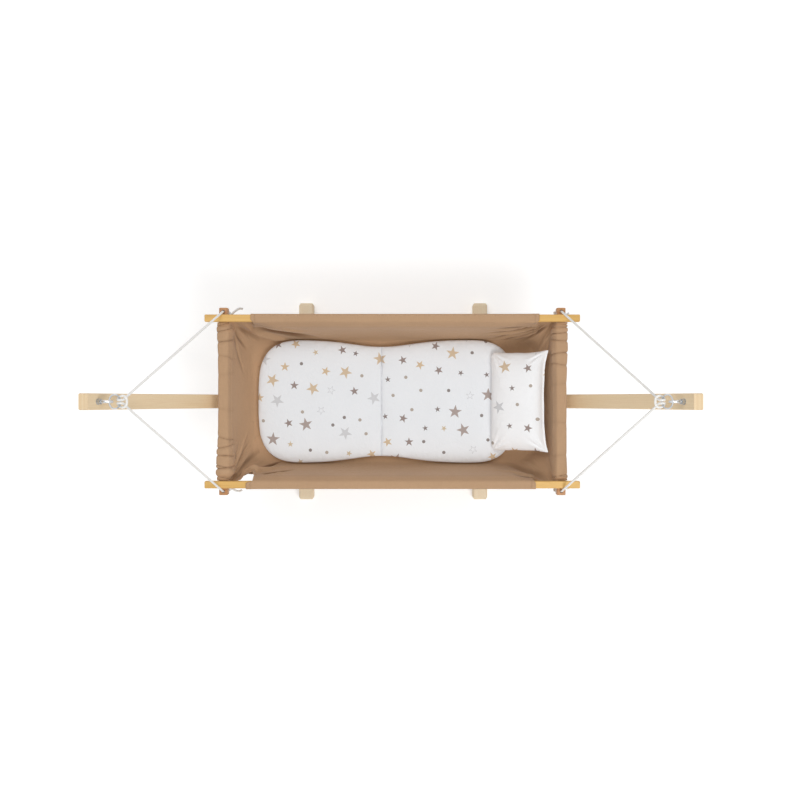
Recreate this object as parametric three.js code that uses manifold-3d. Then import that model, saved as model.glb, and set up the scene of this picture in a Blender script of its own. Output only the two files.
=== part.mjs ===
// Baby hammock: a cloth cradle on a wooden frame, hung by two ropes from the tips of a bent-wood bow.
// Millimetres, +Z up. X runs along the bow and Y across it. The origin is on the floor, under the
// middle of the bow.

import * as THREE from 'three';
import { mergeVertices } from 'three/addons/utils/BufferGeometryUtils.js';
import Module from 'manifold-3d';

const wasm = await Module();
wasm.setup();

// Clearances
const seatGap = 0.3; // between pieces that rest on each other
const holeClearance = 0.5; // round a bolt, screw or sleeve in its hole
const ringSlack = 0.5; // between a ring and the eye that it hangs in
const ropeHoleClearance = 1.5; // round a rope in its hole

// Bow: two halves of bent laminated wood with a half lap in the middle. Radii are of its inner face.
const bowWidth = 40;
const bowThickness = 25;
const bowFloorGap = 12; // under the middle of the bow
const bottomRadius = 640;
const bottomSweep = 60; // degrees, from the middle to where the arm starts
const armRadius = 1553;
const armSweep = 15.3; // degrees
const lapLength = 160;
const lapBoltSpacing = 90;
const woodChamfer = 2;

// Cross feet: notched beams under the bow
const footSpacing = 552;
const footLength = 626;
const footWidth = 46;
const footHeight = 86;
const footEndHeight = 35;
const footArch = 30; // height of the arch under the middle
const footPadLength = 62; // flat stretch under each end
const footShoulder = 50; // half length of the level top
const footChamfer = 4;
const footEndClip = 5; // how far the plan narrows on each side at an end
const footEndTaper = 8; // over what length
const footEndRadius = 14;

// Fasteners
const boltDiameter = 8;
const boltHeadDiameter = 14;
const boltHeadHeight = 5;
const boltOverrun = 3; // thread that stands out of a nut
const nutAcrossFlats = 13;
const nutHeight = 6.5;
const washerDiameter = 16;
const washerThickness = 1.6;
const boltHeadSinking = 8; // depth of the pocket for a foot bolt's head, at the middle of its mouth
const nutSinking = 8; // depth of the pocket for a foot bolt's nut
const connectorDiameter = 6;
const connectorHeadDiameter = 17;
const connectorHeadHeight = 2.5;
const sleeveDiameter = 9;
const sleeveLength = 15;
const socketAcrossFlats = 4;
const socketDepth = 1.6;
const screwDiameter = 5;
const screwHeadDiameter = 9.5;
const screwLength = 36;

// Eye bolts and rings
const eyeFromTip = 39; // along the bow's inner face
const eyeReach = 26.7; // from the bow's inner face to the middle of the eye
const eyeHoleDiameter = 15;
const eyeRodDiameter = 6.5;
const ringHoleDiameter = 30;
const ringWireDiameter = 4;

// Cradle frame: two long rails on two cross bars
const railSize = 20;
const railLength = 1045;
const railSpacing = 464; // between the middles of the rails
const railTop = 371; // above the floor
const barWidth = 24;
const barHeight = 24;
const barLength = 526;
const barSpacing = 948; // between the middles of the bars
const frameChamfer = 1.5;

// Ropes
const ropeDiameter = 6;
const ropeHoleFromEnd = 11; // from the end of a bar
const knotRadius = 8.2; // of the ring that a stopper knot winds round
const knotDepth = 4.1; // how far its strands lie from that ring
const knotDrop = 20; // from the bar to the middle of the knot
const tailReach = 42; // how far a rope's tail stands out from its hole

// Sling
const clothThickness = 2.4;
const floorHeight = 240; // middle of the cloth, above the floor
const floorLength = 800;
const floorWidth = 352;
const floorCornerRadius = 70;
const floorBend = 30; // radius between floor and walls
const sideSleeveLength = 806;
const endSleeveLength = 438;
const sideSeam = 36; // from the sleeve's outer face to its seam
const endSeam = 46;
const seamDrop = 8; // of a seam below the middle of its sleeve
const rimCornerRadius = 8;
const cornerReach = 13; // how far the free edge reaches out under a rail, past the end of its sleeve
const cornerDip = 12; // how far the free edge hangs at the corners
const foldDepth = 4.5;
const foldsPerCorner = 4;

// Mattress and pillow
const mattressLength = 750;
const mattressWidth = 360;
const mattressThickness = 28;
const mattressHeadEnd = 357; // from the middle of the cradle
const mattressEndRound = 150; // length of the rounded stretch at each end
const mattressEndFullness = 3.2; // 2 would be an ellipse
const waistWidth = 320;
const waistLength = 120;
const waistShift = 14; // of the waist from the mattress's middle, towards the foot end
const seamDepth = 11; // of the sewn seam across the waist
const seamWidth = 9;
const pillowLength = 174;
const pillowWidth = 300;
const pillowCrown = 32; // above its edge
const pillowBelly = 14; // below its edge
const pillowSideDraw = 10; // of the middle of each long edge inwards from its corners
const pillowHeadDraw = 15;
const pillowFootDraw = 4;
const pillowTilt = 21; // degrees, head end up
const pillowHeadReach = 2; // of its head corners past the seam of the end sleeve, along X
const pillowRise = 34.2; // of its middle above the mattress

// Places that follow from the sizes
const X = new THREE.Vector3(1, 0, 0);
const Y = new THREE.Vector3(0, 1, 0);
const Z = new THREE.Vector3(0, 0, 1);
const bottomAngle = THREE.MathUtils.degToRad(bottomSweep);
const armAngle = THREE.MathUtils.degToRad(armSweep);
const bowCentreZ = bowFloorGap + bowThickness + bottomRadius;
const armCentre = new THREE.Vector2(
  -(armRadius - bottomRadius) * Math.sin(bottomAngle),
  bowCentreZ + (armRadius - bottomRadius) * Math.cos(bottomAngle),
);
const footX = footSpacing / 2;
const railY = railSpacing / 2;
const barX = barSpacing / 2;
const barTop = railTop - railSize - seatGap;
const barBottom = barTop - barHeight;
const ropeHoleY = barLength / 2 - ropeHoleFromEnd;
const ropeRadius = ropeDiameter / 2;

// Solids

// A closed geometry as a solid that can be joined and cut.
function solidOf(geometry) {
  const bare = geometry.clone();
  bare.deleteAttribute('normal');
  bare.deleteAttribute('uv');
  const merged = mergeVertices(bare, 1e-4);
  return new wasm.Manifold(new wasm.Mesh({
    numProp: 3,
    vertProperties: new Float32Array(merged.attributes.position.array),
    triVerts: new Uint32Array(merged.index.array),
  }));
}

function geometryOf(solid) {
  const mesh = solid.getMesh();
  const geometry = new THREE.BufferGeometry();
  geometry.setAttribute('position', new THREE.BufferAttribute(new Float32Array(mesh.vertProperties), 3));
  geometry.setIndex(Array.from(mesh.triVerts));
  geometry.computeVertexNormals();
  return geometry;
}

function cut(geometry, ...tools) {
  let solid = solidOf(geometry);
  for (const tool of tools) {
    solid = solid.subtract(solidOf(tool));
  }
  return geometryOf(solid);
}

function join(...geometries) {
  const [first, ...others] = geometries.map(solidOf);
  return geometryOf(others.reduce((whole, piece) => whole.add(piece), first));
}

function common(a, b) {
  return geometryOf(solidOf(a).intersect(solidOf(b)));
}

// Triangles given as points, with shared corners merged and flat triangles left out.
function sewn(points) {
  const geometry = new THREE.BufferGeometry().setFromPoints(points);
  const merged = mergeVertices(geometry, 1e-3);
  const corners = Array.from(merged.index.array);
  const kept = [];
  for (let i = 0; i < corners.length; i += 3) {
    const [a, b, c] = corners.slice(i, i + 3);
    if (a !== b && b !== c && c !== a) {
      kept.push(a, b, c);
    }
  }
  merged.setIndex(kept);
  merged.computeVertexNormals();
  return merged;
}

// An outline extruded to a width that is centred on its own plane, with chamfered edges.
function extruded(shape, width, chamfer = 0, curveSegments = 12) {
  const geometry = new THREE.ExtrudeGeometry(shape, {
    depth: width - 2 * chamfer,
    curveSegments,
    bevelEnabled: chamfer > 0,
    bevelThickness: chamfer,
    bevelSize: chamfer,
    bevelOffset: -chamfer,
    bevelSegments: 1,
  });
  return geometry.translate(0, 0, chamfer - width / 2);
}

// An outline drawn in X and Z, extruded across Y.
function acrossY(shape, width, chamfer, curveSegments) {
  return extruded(shape, width, chamfer, curveSegments).rotateX(Math.PI / 2);
}

// An outline drawn in Y and Z, extruded along X.
function alongX(shape, width, chamfer, curveSegments) {
  const turn = new THREE.Matrix4().makeBasis(Y, Z, X);
  return extruded(shape, width, chamfer, curveSegments).applyMatrix4(turn);
}

// A square section with chamfered corners
function rodSection(width, height) {
  const shape = new THREE.Shape();
  const w = width / 2;
  const h = height / 2;
  shape.moveTo(frameChamfer - w, -h);
  shape.lineTo(w - frameChamfer, -h);
  shape.lineTo(w, frameChamfer - h);
  shape.lineTo(w, h - frameChamfer);
  shape.lineTo(w - frameChamfer, h);
  shape.lineTo(frameChamfer - w, h);
  shape.lineTo(-w, h - frameChamfer);
  shape.lineTo(-w, frameChamfer - h);
  shape.closePath();
  return shape;
}

// A cylinder whose lower end is at a height on the Z axis.
function post(diameter, bottom, top, sides = 20) {
  const geometry = new THREE.CylinderGeometry(diameter / 2, diameter / 2, top - bottom, sides);
  return geometry.rotateX(Math.PI / 2).translate(0, 0, (bottom + top) / 2);
}

function hexagon(acrossFlats) {
  const shape = new THREE.Shape();
  for (let corner = 0; corner < 6; corner += 1) {
    const angle = (corner * Math.PI) / 3;
    const radius = acrossFlats / 2 / Math.cos(Math.PI / 6);
    const x = radius * Math.cos(angle);
    const y = radius * Math.sin(angle);
    if (corner === 0) {
      shape.moveTo(x, y);
    } else {
      shape.lineTo(x, y);
    }
  }
  shape.closePath();
  return shape;
}

// Puts a geometry that is built round the Z axis on a seat, with Z along the given direction.
function seated(geometry, origin, direction) {
  const turn = new THREE.Quaternion().setFromUnitVectors(Z, direction);
  const placed = geometry.clone().applyQuaternion(turn);
  return placed.translate(origin.x, origin.y, origin.z);
}

// Fasteners, built upwards along Z from the face that they seat on

function washer() {
  const shape = new THREE.Shape();
  shape.absarc(0, 0, washerDiameter / 2, 0, 2 * Math.PI);
  const hole = new THREE.Path();
  hole.absarc(0, 0, boltDiameter / 2 + holeClearance, 0, 2 * Math.PI);
  shape.holes.push(hole);
  return extruded(shape, washerThickness, 0, 8).translate(0, 0, seatGap + washerThickness / 2);
}

function nut() {
  const shape = hexagon(nutAcrossFlats);
  const hole = new THREE.Path();
  hole.absarc(0, 0, boltDiameter / 2 + seatGap, 0, 2 * Math.PI);
  shape.holes.push(hole);
  const bottom = 2 * seatGap + washerThickness;
  return extruded(shape, nutHeight, 0, 8).translate(0, 0, bottom + nutHeight / 2);
}

const nutTop = 2 * seatGap + washerThickness + nutHeight;

// Foot bolt: a domed head with a hexagon socket, above a washer. Z = 0 is the floor of its pocket.
function footBolt(length) {
  const headBottom = 2 * seatGap + washerThickness;
  const headTop = headBottom + boltHeadHeight;
  const profile = new THREE.Path();
  profile.moveTo(0, -length);
  profile.lineTo(boltDiameter / 2, -length);
  profile.lineTo(boltDiameter / 2, headBottom);
  profile.lineTo(boltHeadDiameter / 2, headBottom);
  profile.quadraticCurveTo(boltHeadDiameter / 2, headTop, boltHeadDiameter / 4, headTop);
  profile.lineTo(0, headTop);
  const body = new THREE.LatheGeometry(profile.getPoints(5), 20).rotateX(Math.PI / 2);
  const socket = extruded(hexagon(socketAcrossFlats), 2 * socketDepth).translate(0, 0, headTop);
  return cut(body, socket);
}

// Flat-headed connector: a bolt from one face of the lap and a sleeve nut from the other
function connectorHead() {
  return post(connectorHeadDiameter, seatGap, seatGap + connectorHeadHeight, 24);
}

function connectorSocket() {
  const top = seatGap + connectorHeadHeight;
  return extruded(hexagon(socketAcrossFlats), 2 * socketDepth).translate(0, 0, top);
}

function connectorBolt() {
  const reach = bowThickness - connectorHeadHeight;
  return cut(join(connectorHead(), post(connectorDiameter, -reach, 1, 16)), connectorSocket());
}

function sleeveNut() {
  const body = join(connectorHead(), post(sleeveDiameter, -sleeveLength, 1, 16));
  const bore = post(connectorDiameter + 2 * seatGap, -sleeveLength - 1, seatGap, 16);
  return cut(body, bore, connectorSocket());
}

// Countersunk screw that points up, with its head flush at Z = 0
function frameScrew() {
  const radius = screwDiameter / 2;
  const headRadius = screwHeadDiameter / 2;
  const cone = headRadius - radius;
  const profile = [
    new THREE.Vector2(0, 0),
    new THREE.Vector2(headRadius, 0),
    new THREE.Vector2(radius, cone),
    new THREE.Vector2(radius, screwLength - screwDiameter),
    new THREE.Vector2(0, screwLength),
  ];
  return new THREE.LatheGeometry(profile, 14).rotateX(Math.PI / 2);
}

// Bow

// A point of the bow's right half in X and Z, at an angle from the middle and a depth below the
// inner face.
function bowPoint(angle, depth) {
  const onArm = angle > bottomAngle;
  const radius = (onArm ? armRadius : bottomRadius) + depth;
  const centre = onArm ? armCentre : new THREE.Vector2(0, bowCentreZ);
  return new THREE.Vector2(centre.x + radius * Math.sin(angle), centre.y - radius * Math.cos(angle));
}

function bottomArc(shape, depth, from, to) {
  const start = from - Math.PI / 2;
  const end = to - Math.PI / 2;
  shape.absarc(0, bowCentreZ, bottomRadius + depth, start, end, to < from);
}

function armArc(shape, depth, from, to) {
  const start = from - Math.PI / 2;
  const end = to - Math.PI / 2;
  shape.absarc(armCentre.x, armCentre.y, armRadius + depth, start, end, to < from);
}

const tipAngle = bottomAngle + armAngle;
const lapAngle = lapLength / 2 / bottomRadius;
const tongueAngle = lapAngle - seatGap / bottomRadius;

// The right half carries the lower tongue of the lap and the left half the upper one.
function bowHalf(hasLowerTongue) {
  const shape = new THREE.Shape();
  const middle = (bowThickness + (hasLowerTongue ? seatGap : -seatGap)) / 2;
  bottomArc(shape, bowThickness, hasLowerTongue ? -tongueAngle : lapAngle, bottomAngle);
  armArc(shape, bowThickness, bottomAngle, tipAngle);
  armArc(shape, 0, tipAngle, bottomAngle);
  bottomArc(shape, 0, bottomAngle, hasLowerTongue ? lapAngle : -tongueAngle);
  if (hasLowerTongue) {
    bottomArc(shape, middle, lapAngle, -tongueAngle);
  } else {
    bottomArc(shape, middle, -tongueAngle, lapAngle);
  }
  shape.closePath();
  return acrossY(shape, bowWidth, woodChamfer, 12);
}

function inPlane(point, y = 0) {
  return new THREE.Vector3(point.x, y, point.y);
}

// Direction from the bow's inner face towards the middle of its arc.
function bowNormal(angle) {
  return new THREE.Vector3(-Math.sin(angle), 0, Math.cos(angle));
}

const lapBoltAngle = lapBoltSpacing / 2 / bottomRadius;
const eyeAngle = tipAngle - eyeFromTip / armRadius;
const eyeSeat = inPlane(bowPoint(eyeAngle, 0));
const eyeNormal = bowNormal(eyeAngle);

// Height of the bow's face over a foot bolt
function bowHeight(x, depth) {
  const radius = bottomRadius + depth;
  return bowCentreZ - Math.sqrt(radius * radius - x * x);
}

const headPocketFloor = bowHeight(footX, 0) - boltHeadSinking;
const nutPocketTop = footArch + nutSinking;
const footBoltEnd = nutPocketTop - nutTop - boltOverrun;

function bowHoles() {
  const through = boltDiameter + 2 * holeClearance;
  const eyeHole = seated(post(through, -2 * bowThickness, bowThickness), eyeSeat, eyeNormal);
  const footHole = post(through, 0, 2 * footHeight).translate(footX, 0, 0);
  const pocket = post(washerDiameter + 2 * holeClearance, headPocketFloor, 2 * footHeight, 24);
  const lapHoles = [-lapBoltAngle, lapBoltAngle].map((angle) => {
    const drill = post(sleeveDiameter + 2 * holeClearance, -2 * bowThickness, bowThickness);
    return seated(drill, inPlane(bowPoint(angle, 0)), bowNormal(angle));
  });
  return [eyeHole, footHole, pocket.translate(footX, 0, 0), ...lapHoles];
}

// Feet

// The space that the bow takes in a foot's notch, open upwards
function notchTool() {
  const from = Math.asin((footX - footWidth) / bottomRadius);
  const to = Math.asin((footX + footWidth) / bottomRadius);
  const shape = new THREE.Shape();
  bottomArc(shape, bowThickness + seatGap, from, to);
  bottomArc(shape, -footHeight, to, from);
  shape.closePath();
  return acrossY(shape, bowWidth + 2 * seatGap, 0, 12);
}

function foot() {
  const half = footLength / 2;
  const side = new THREE.Shape();
  side.moveTo(-half, 0);
  side.lineTo(-half + footPadLength, 0);
  side.quadraticCurveTo(0, 2 * footArch, half - footPadLength, 0);
  side.lineTo(half, 0);
  for (const end of [1, -1]) {
    const tip = end * half;
    const nearTip = end * (half - footEndRadius);
    const shoulder = end * footShoulder;
    const middle = (nearTip + shoulder) / 2;
    if (end > 0) {
      side.lineTo(tip, footEndHeight - footEndRadius);
      side.quadraticCurveTo(tip, footEndHeight, nearTip, footEndHeight);
      side.bezierCurveTo(middle, footEndHeight, middle, footHeight, shoulder, footHeight);
    } else {
      side.lineTo(shoulder, footHeight);
      side.bezierCurveTo(middle, footHeight, middle, footEndHeight, nearTip, footEndHeight);
      side.quadraticCurveTo(tip, footEndHeight, tip, footEndHeight - footEndRadius);
    }
  }
  side.closePath();
  const plan = new THREE.Shape();
  const wide = footWidth / 2;
  const narrow = wide - footEndClip;
  const straight = half - footEndTaper;
  plan.moveTo(-wide, -straight);
  plan.lineTo(-narrow, -half);
  plan.lineTo(narrow, -half);
  plan.lineTo(wide, -straight);
  plan.lineTo(wide, straight);
  plan.lineTo(narrow, half);
  plan.lineTo(-narrow, half);
  plan.lineTo(-wide, straight);
  plan.closePath();
  const beam = alongX(side, footWidth, footChamfer, 8);
  const body = common(beam, extruded(plan, 4 * footHeight)).translate(footX, 0, 0);
  const drill = post(boltDiameter + 2 * holeClearance, 0, 2 * footHeight).translate(footX, 0, 0);
  const pocket = post(washerDiameter + 2 * holeClearance, 0, nutPocketTop, 24).translate(footX, 0, 0);
  return cut(body, notchTool(), drill, pocket);
}

// Eye bolt: a rod through the bow, with a nut and washer on each face, and a closed eye
const eyeRadius = (eyeHoleDiameter + eyeRodDiameter) / 2;
const eyeCentre = eyeSeat.clone().addScaledVector(eyeNormal, eyeReach);

function eyeBolt() {
  const end = -bowThickness - nutTop - boltOverrun;
  const rod = post(boltDiameter, end, eyeReach - eyeRadius, 16);
  const eye = new THREE.TorusGeometry(eyeRadius, eyeRodDiameter / 2, 10, 28).rotateX(Math.PI / 2);
  return seated(join(rod, eye.translate(0, 0, eyeReach)), eyeSeat, eyeNormal);
}

// Ring: hangs in the eye, in line with the pull of the rope
const railEdge = new THREE.Vector3(barX + 2, railY + railSize / 2, railTop);
const edgeStep = (ropeRadius + seatGap) / Math.SQRT2 + 0.2;
const overRail = railEdge.clone().add(new THREE.Vector3(0, edgeStep, edgeStep));
const pull = new THREE.Vector3(overRail.x, 0, overRail.z).sub(eyeCentre).normalize();
const ringRadius = (ringHoleDiameter + ringWireDiameter) / 2;
const ringTopOffset = (eyeHoleDiameter - ringWireDiameter) / 2 - ringSlack;
const ringCentre = eyeCentre.clone().addScaledVector(pull, ringTopOffset + ringRadius);
const swingHeight = eyeCentre.z + pull.z * eyeRadius;

// Across the ring, along the pull, and out of the ring's plane
const ringFrame = new THREE.Matrix4().makeBasis(Y, pull, new THREE.Vector3().crossVectors(Y, pull));
ringFrame.setPosition(ringCentre);

function ring() {
  return new THREE.TorusGeometry(ringRadius, ringWireDiameter / 2, 8, 32).applyMatrix4(ringFrame);
}

// Rope: from a tail and a stopper knot under one bar end, up through its hole and over the rail to a
// lark's head on the ring, and down to the other bar end the same way.

// A route that spends as many steps on each stretch between two points, short or long.
class RopeRoute extends THREE.CatmullRomCurve3 {
  getUtoTmapping(u) {
    return u;
  }
}

// Half of the lark's head, from the middle of its bight to the start of a leg: across the ring,
// along the pull from the middle of the wire, and out of the ring's plane
const larksHead = [
  [0, 10.2, 11],
  [6, 10, 10.6],
  [12, 8, 8],
  [14.2, 5.2, 0.6],
  [10.6, 2, -5.8],
  [5.6, -2.4, -6.3],
  [3.9, -6.5, -1],
  [3.9, -4.2, 4.8],
  [4.2, 2.4, 5.8],
  [6.8, 9.6, 3.2],
  [12.8, 19.2, 0.6],
];

// A stopper knot: a trefoil round a ring, open at the top, where the rope comes down and its tail
// leaves. The tail points outwards (1) or inwards (-1) along the cradle.
function stopperKnot(hole, tailSide) {
  const centre = new THREE.Vector3(hole.x, hole.y, barBottom - knotDrop);
  const points = [];
  const turns = 14;
  const first = THREE.MathUtils.degToRad(16);
  const last = THREE.MathUtils.degToRad(338);
  for (let i = 0; i <= turns; i += 1) {
    const t = THREE.MathUtils.lerp(first, last, i / turns);
    const radius = knotRadius + knotDepth * Math.cos(3 * t);
    const x = tailSide * radius * Math.sin(2 * t);
    const z = radius * Math.cos(2 * t);
    const y = knotDepth * Math.sin(3 * t);
    points.push(new THREE.Vector3(x, y, z).add(centre));
  }
  const tail = [
    [-1, -7.6, 12.2],
    [7, -9.6, 12.6],
    [0.5 * tailReach, -8, 9],
    [tailReach, -6, 2],
  ].map(([x, y, z]) => new THREE.Vector3(tailSide * x, y, z).add(centre));
  return [...points, ...tail];
}

function ropeRoute(tailSide) {
  const hole = new THREE.Vector3(barX, ropeHoleY, barTop);
  const ringEnd = new THREE.Matrix4().copy(ringFrame);
  const knot = larksHead.map(([across, along, out]) => (
    new THREE.Vector3(across, ringRadius + along, out).applyMatrix4(ringEnd)
  ));
  const half = [
    ...knot,
    knot.at(-1).clone().lerp(overRail, 0.5),
    overRail,
    new THREE.Vector3(hole.x + 0.3, hole.y - 0.8, barTop + 3),
    new THREE.Vector3(hole.x, hole.y, barTop - barHeight / 2),
    new THREE.Vector3(hole.x, hole.y, barBottom),
    ...stopperKnot(hole, tailSide),
  ];
  const mirrored = half.slice(1).reverse().map((point) => new THREE.Vector3(point.x, -point.y, point.z));
  return new RopeRoute([...mirrored, ...half], false, 'centripetal');
}

// The least gap between stretches of a rope that are not neighbours along it
function leastGap(route, diameter) {
  const points = route.getPoints(6 * route.points.length);
  const along = [0];
  for (let i = 1; i < points.length; i += 1) {
    along.push(along[i - 1] + points[i].distanceTo(points[i - 1]));
  }
  let least = Infinity;
  for (let i = 0; i < points.length; i += 1) {
    for (let j = i + 1; j < points.length; j += 1) {
      if (along[j] - along[i] > 2.2 * diameter) {
        least = Math.min(least, points[i].distanceTo(points[j]));
      }
    }
  }
  return least - diameter;
}

function rope(tailSide) {
  const route = ropeRoute(tailSide);
  const section = new THREE.Shape();
  const sides = 6;
  for (let corner = 0; corner < sides; corner += 1) {
    const angle = (corner * 2 * Math.PI) / sides;
    const x = ropeRadius * Math.cos(angle);
    const y = ropeRadius * Math.sin(angle);
    if (corner === 0) {
      section.moveTo(x, y);
    } else {
      section.lineTo(x, y);
    }
  }
  section.closePath();
  const steps = 2 * (route.points.length - 1);
  console.log(`rope: least gap to itself ${leastGap(route, ropeDiameter).toFixed(2)} mm`);
  return new THREE.ExtrudeGeometry(section, { steps, extrudePath: route, bevelEnabled: false });
}

// Cradle frame

function rail() {
  const bar = alongX(rodSection(railSize, railSize), railLength, frameChamfer);
  const screwTop = barBottom + screwLength;
  const pilots = [-barX, barX].map((x) => (
    post(screwDiameter + 2 * holeClearance, barTop, screwTop + 1, 14).translate(x, railY, 0)
  ));
  return cut(bar.translate(0, railY, railTop - railSize / 2), ...pilots);
}

function bar() {
  const beam = acrossY(rodSection(barWidth, barHeight), barLength, frameChamfer);
  const tools = [];
  for (const side of [-1, 1]) {
    const ropeHole = post(ropeDiameter + 2 * ropeHoleClearance, barBottom - 1, barTop + 1, 20);
    tools.push(ropeHole.translate(barX, side * ropeHoleY, 0));
    const screwHole = post(screwDiameter + 2 * holeClearance, barBottom - 1, barTop + 1, 14);
    tools.push(screwHole.translate(barX, side * railY, 0));
    const mouth = screwHeadDiameter / 2 + 2 * holeClearance + 1;
    const shank = screwDiameter / 2;
    const cone = new THREE.CylinderGeometry(shank, mouth, mouth - shank, 14).rotateX(Math.PI / 2);
    tools.push(cone.translate(barX, side * railY, barBottom - 1 + (mouth - shank) / 2));
  }
  return cut(beam.translate(barX, 0, barTop - barHeight / 2), ...tools);
}

// Sling

const sleeveWrap = seatGap + clothThickness; // from a rail's face to the outside of its sleeve

// A loop of cloth round a square rod, in the rod's own section, drawn out to a seam on the -x side
function sleeveSection(width, height, seamReach) {
  const outline = (grow) => {
    const w = width / 2 + grow;
    const h = height / 2 + grow;
    const round = grow + 1;
    const seam = -width / 2 - sleeveWrap - seamReach + (sleeveWrap - grow) * 2;
    const path = grow > sleeveWrap / 2 ? new THREE.Shape() : new THREE.Path();
    path.moveTo(seam, -seamDrop - 1);
    path.lineTo(-w + round, -h);
    path.lineTo(w - round, -h);
    path.quadraticCurveTo(w, -h, w, -h + round);
    path.lineTo(w, h - round);
    path.quadraticCurveTo(w, h, w - round, h);
    path.lineTo(-w + 0.7, h);
    path.lineTo(seam, -seamDrop + 1);
    path.closePath();
    return path;
  };
  const section = outline(sleeveWrap);
  section.holes.push(outline(seatGap));
  return section;
}

const sideSleeveReach = sideSeam - railSize - 2 * sleeveWrap;
const endSleeveReach = endSeam - barWidth - 2 * sleeveWrap;
const rimY = railY + railSize / 2 + sleeveWrap - sideSeam;
const rimX = barX + barWidth / 2 + sleeveWrap - endSeam;
const sideRimZ = railTop - railSize / 2 - seamDrop;
const endRimZ = barTop - barHeight / 2 - seamDrop;

function sideSleeve() {
  const loop = alongX(sleeveSection(railSize, railSize, sideSleeveReach), sideSleeveLength, 0, 3);
  return loop.translate(0, railY, railTop - railSize / 2);
}

function endSleeve() {
  const loop = acrossY(sleeveSection(barWidth, barHeight, endSleeveReach), endSleeveLength, 0, 3);
  return loop.translate(barX, 0, barTop - barHeight / 2);
}

// Columns of the sling, as the direction of each round a rounded rectangle: where its corner centre
// lies, from -1 to 1 in X and Y, and the angle of the corner's arc there.
function slingColumns() {
  const columns = [];
  const alongSide = 8;
  const alongEnd = 5;
  const roundCorner = 3 * foldsPerCorner;
  const corners = [[1, 1], [-1, 1], [-1, -1], [1, -1]];
  corners.forEach(([x, y], corner) => {
    for (let i = 0; i < roundCorner; i += 1) {
      columns.push({ x, y, angle: ((corner + i / roundCorner) * Math.PI) / 2, turn: i / roundCorner });
    }
    const [nextX, nextY] = corners[(corner + 1) % 4];
    const pieces = corner % 2 === 0 ? alongSide : alongEnd;
    for (let i = 0; i < pieces; i += 1) {
      columns.push({
        x: THREE.MathUtils.lerp(x, nextX, i / pieces),
        y: THREE.MathUtils.lerp(y, nextY, i / pieces),
        angle: ((corner + 1) * Math.PI) / 2,
        turn: 0,
      });
    }
  });
  return columns;
}

// A point of the sling's middle surface. Up the wall, level goes from 0 at the floor's edge to 1 at
// the rim; below 0 it is a point of the floor, -1 being the middle.
function slingPoint(column, level) {
  const share = Math.max(level, 0);
  const corner = Math.sin(column.turn * Math.PI);
  const ease = floorBend / (sideRimZ - floorHeight);
  const outwards = THREE.MathUtils.lerp(share, Math.sqrt(share), 0.25);
  const radius = THREE.MathUtils.lerp(floorCornerRadius, rimCornerRadius, outwards);
  const halfX = THREE.MathUtils.lerp(floorLength / 2, rimX, outwards) - radius;
  const halfY = THREE.MathUtils.lerp(floorWidth / 2, rimY, outwards) - radius;
  const onEnd = Math.abs(Math.cos(column.angle));
  const onSide = Math.abs(Math.sin(column.angle));
  const bulge = 4 * share * (1 - share) * corner;
  const fold = foldDepth * bulge * Math.sin(column.turn * 2 * Math.PI * foldsPerCorner);
  const reach = radius + fold;
  const x = column.x * halfX + reach * Math.cos(column.angle);
  const y = column.y * halfY + reach * Math.sin(column.angle);
  const sleeveEnd = sideSleeveLength / 2 - 4;
  const free = onSide * THREE.MathUtils.smoothstep(Math.abs(x), sleeveEnd, rimX - rimCornerRadius);
  const rimZ = THREE.MathUtils.lerp(sideRimZ, endRimZ, onEnd) - cornerDip * free;
  const height = share < ease ? (share * share) / (2 * ease) : share - ease / 2;
  const z = floorHeight + ((rimZ - floorHeight) * height) / (1 - ease / 2);
  const inwards = level < 0 ? 1 + level : 1;
  return new THREE.Vector3(
    x * inwards,
    (y + Math.sign(y) * cornerReach * free * share * share) * inwards,
    z,
  );
}

// The sling's sheet: its middle surface, thickened half to each side
function slingSheet() {
  const columns = slingColumns();
  const levels = [-0.4, 0, 0.12, 0.3, 0.65, 1];
  const step = 0.02;
  const faces = [-1, 1].map((side) => columns.map((column, i) => levels.map((level) => {
    const point = slingPoint(column, level);
    if (level <= 0) {
      return point.add(new THREE.Vector3(0, 0, (-side * clothThickness) / 2));
    }
    const before = columns[(i + columns.length - 1) % columns.length];
    const after = columns[(i + 1) % columns.length];
    const across = slingPoint(after, level).sub(slingPoint(before, level));
    const up = slingPoint(column, level).sub(slingPoint(column, level - step));
    const outwards = across.cross(up).normalize();
    return point.addScaledVector(outwards, (side * clothThickness) / 2);
  })));
  const triangles = [];
  const quad = (a, b, c, d) => triangles.push(a, b, c, a, c, d);
  columns.forEach((column, i) => {
    const next = (i + 1) % columns.length;
    const [inner, outer] = faces;
    const last = levels.length - 1;
    for (let row = 0; row < last; row += 1) {
      quad(outer[i][row], outer[next][row], outer[next][row + 1], outer[i][row + 1]);
      quad(inner[i][row], inner[i][row + 1], inner[next][row + 1], inner[next][row]);
    }
    quad(inner[i][last], outer[i][last], outer[next][last], inner[next][last]);
    triangles.push(new THREE.Vector3(0, 0, floorHeight - clothThickness / 2), outer[next][0], outer[i][0]);
    triangles.push(new THREE.Vector3(0, 0, floorHeight + clothThickness / 2), inner[i][0], inner[next][0]);
  });
  return sewn(triangles);
}

function sling() {
  const halfTurn = (geometry) => geometry.clone().rotateZ(Math.PI);
  const side = sideSleeve();
  const end = endSleeve();
  return join(slingSheet(), side, halfTurn(side), end, halfTurn(end));
}

// Cushions

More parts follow.
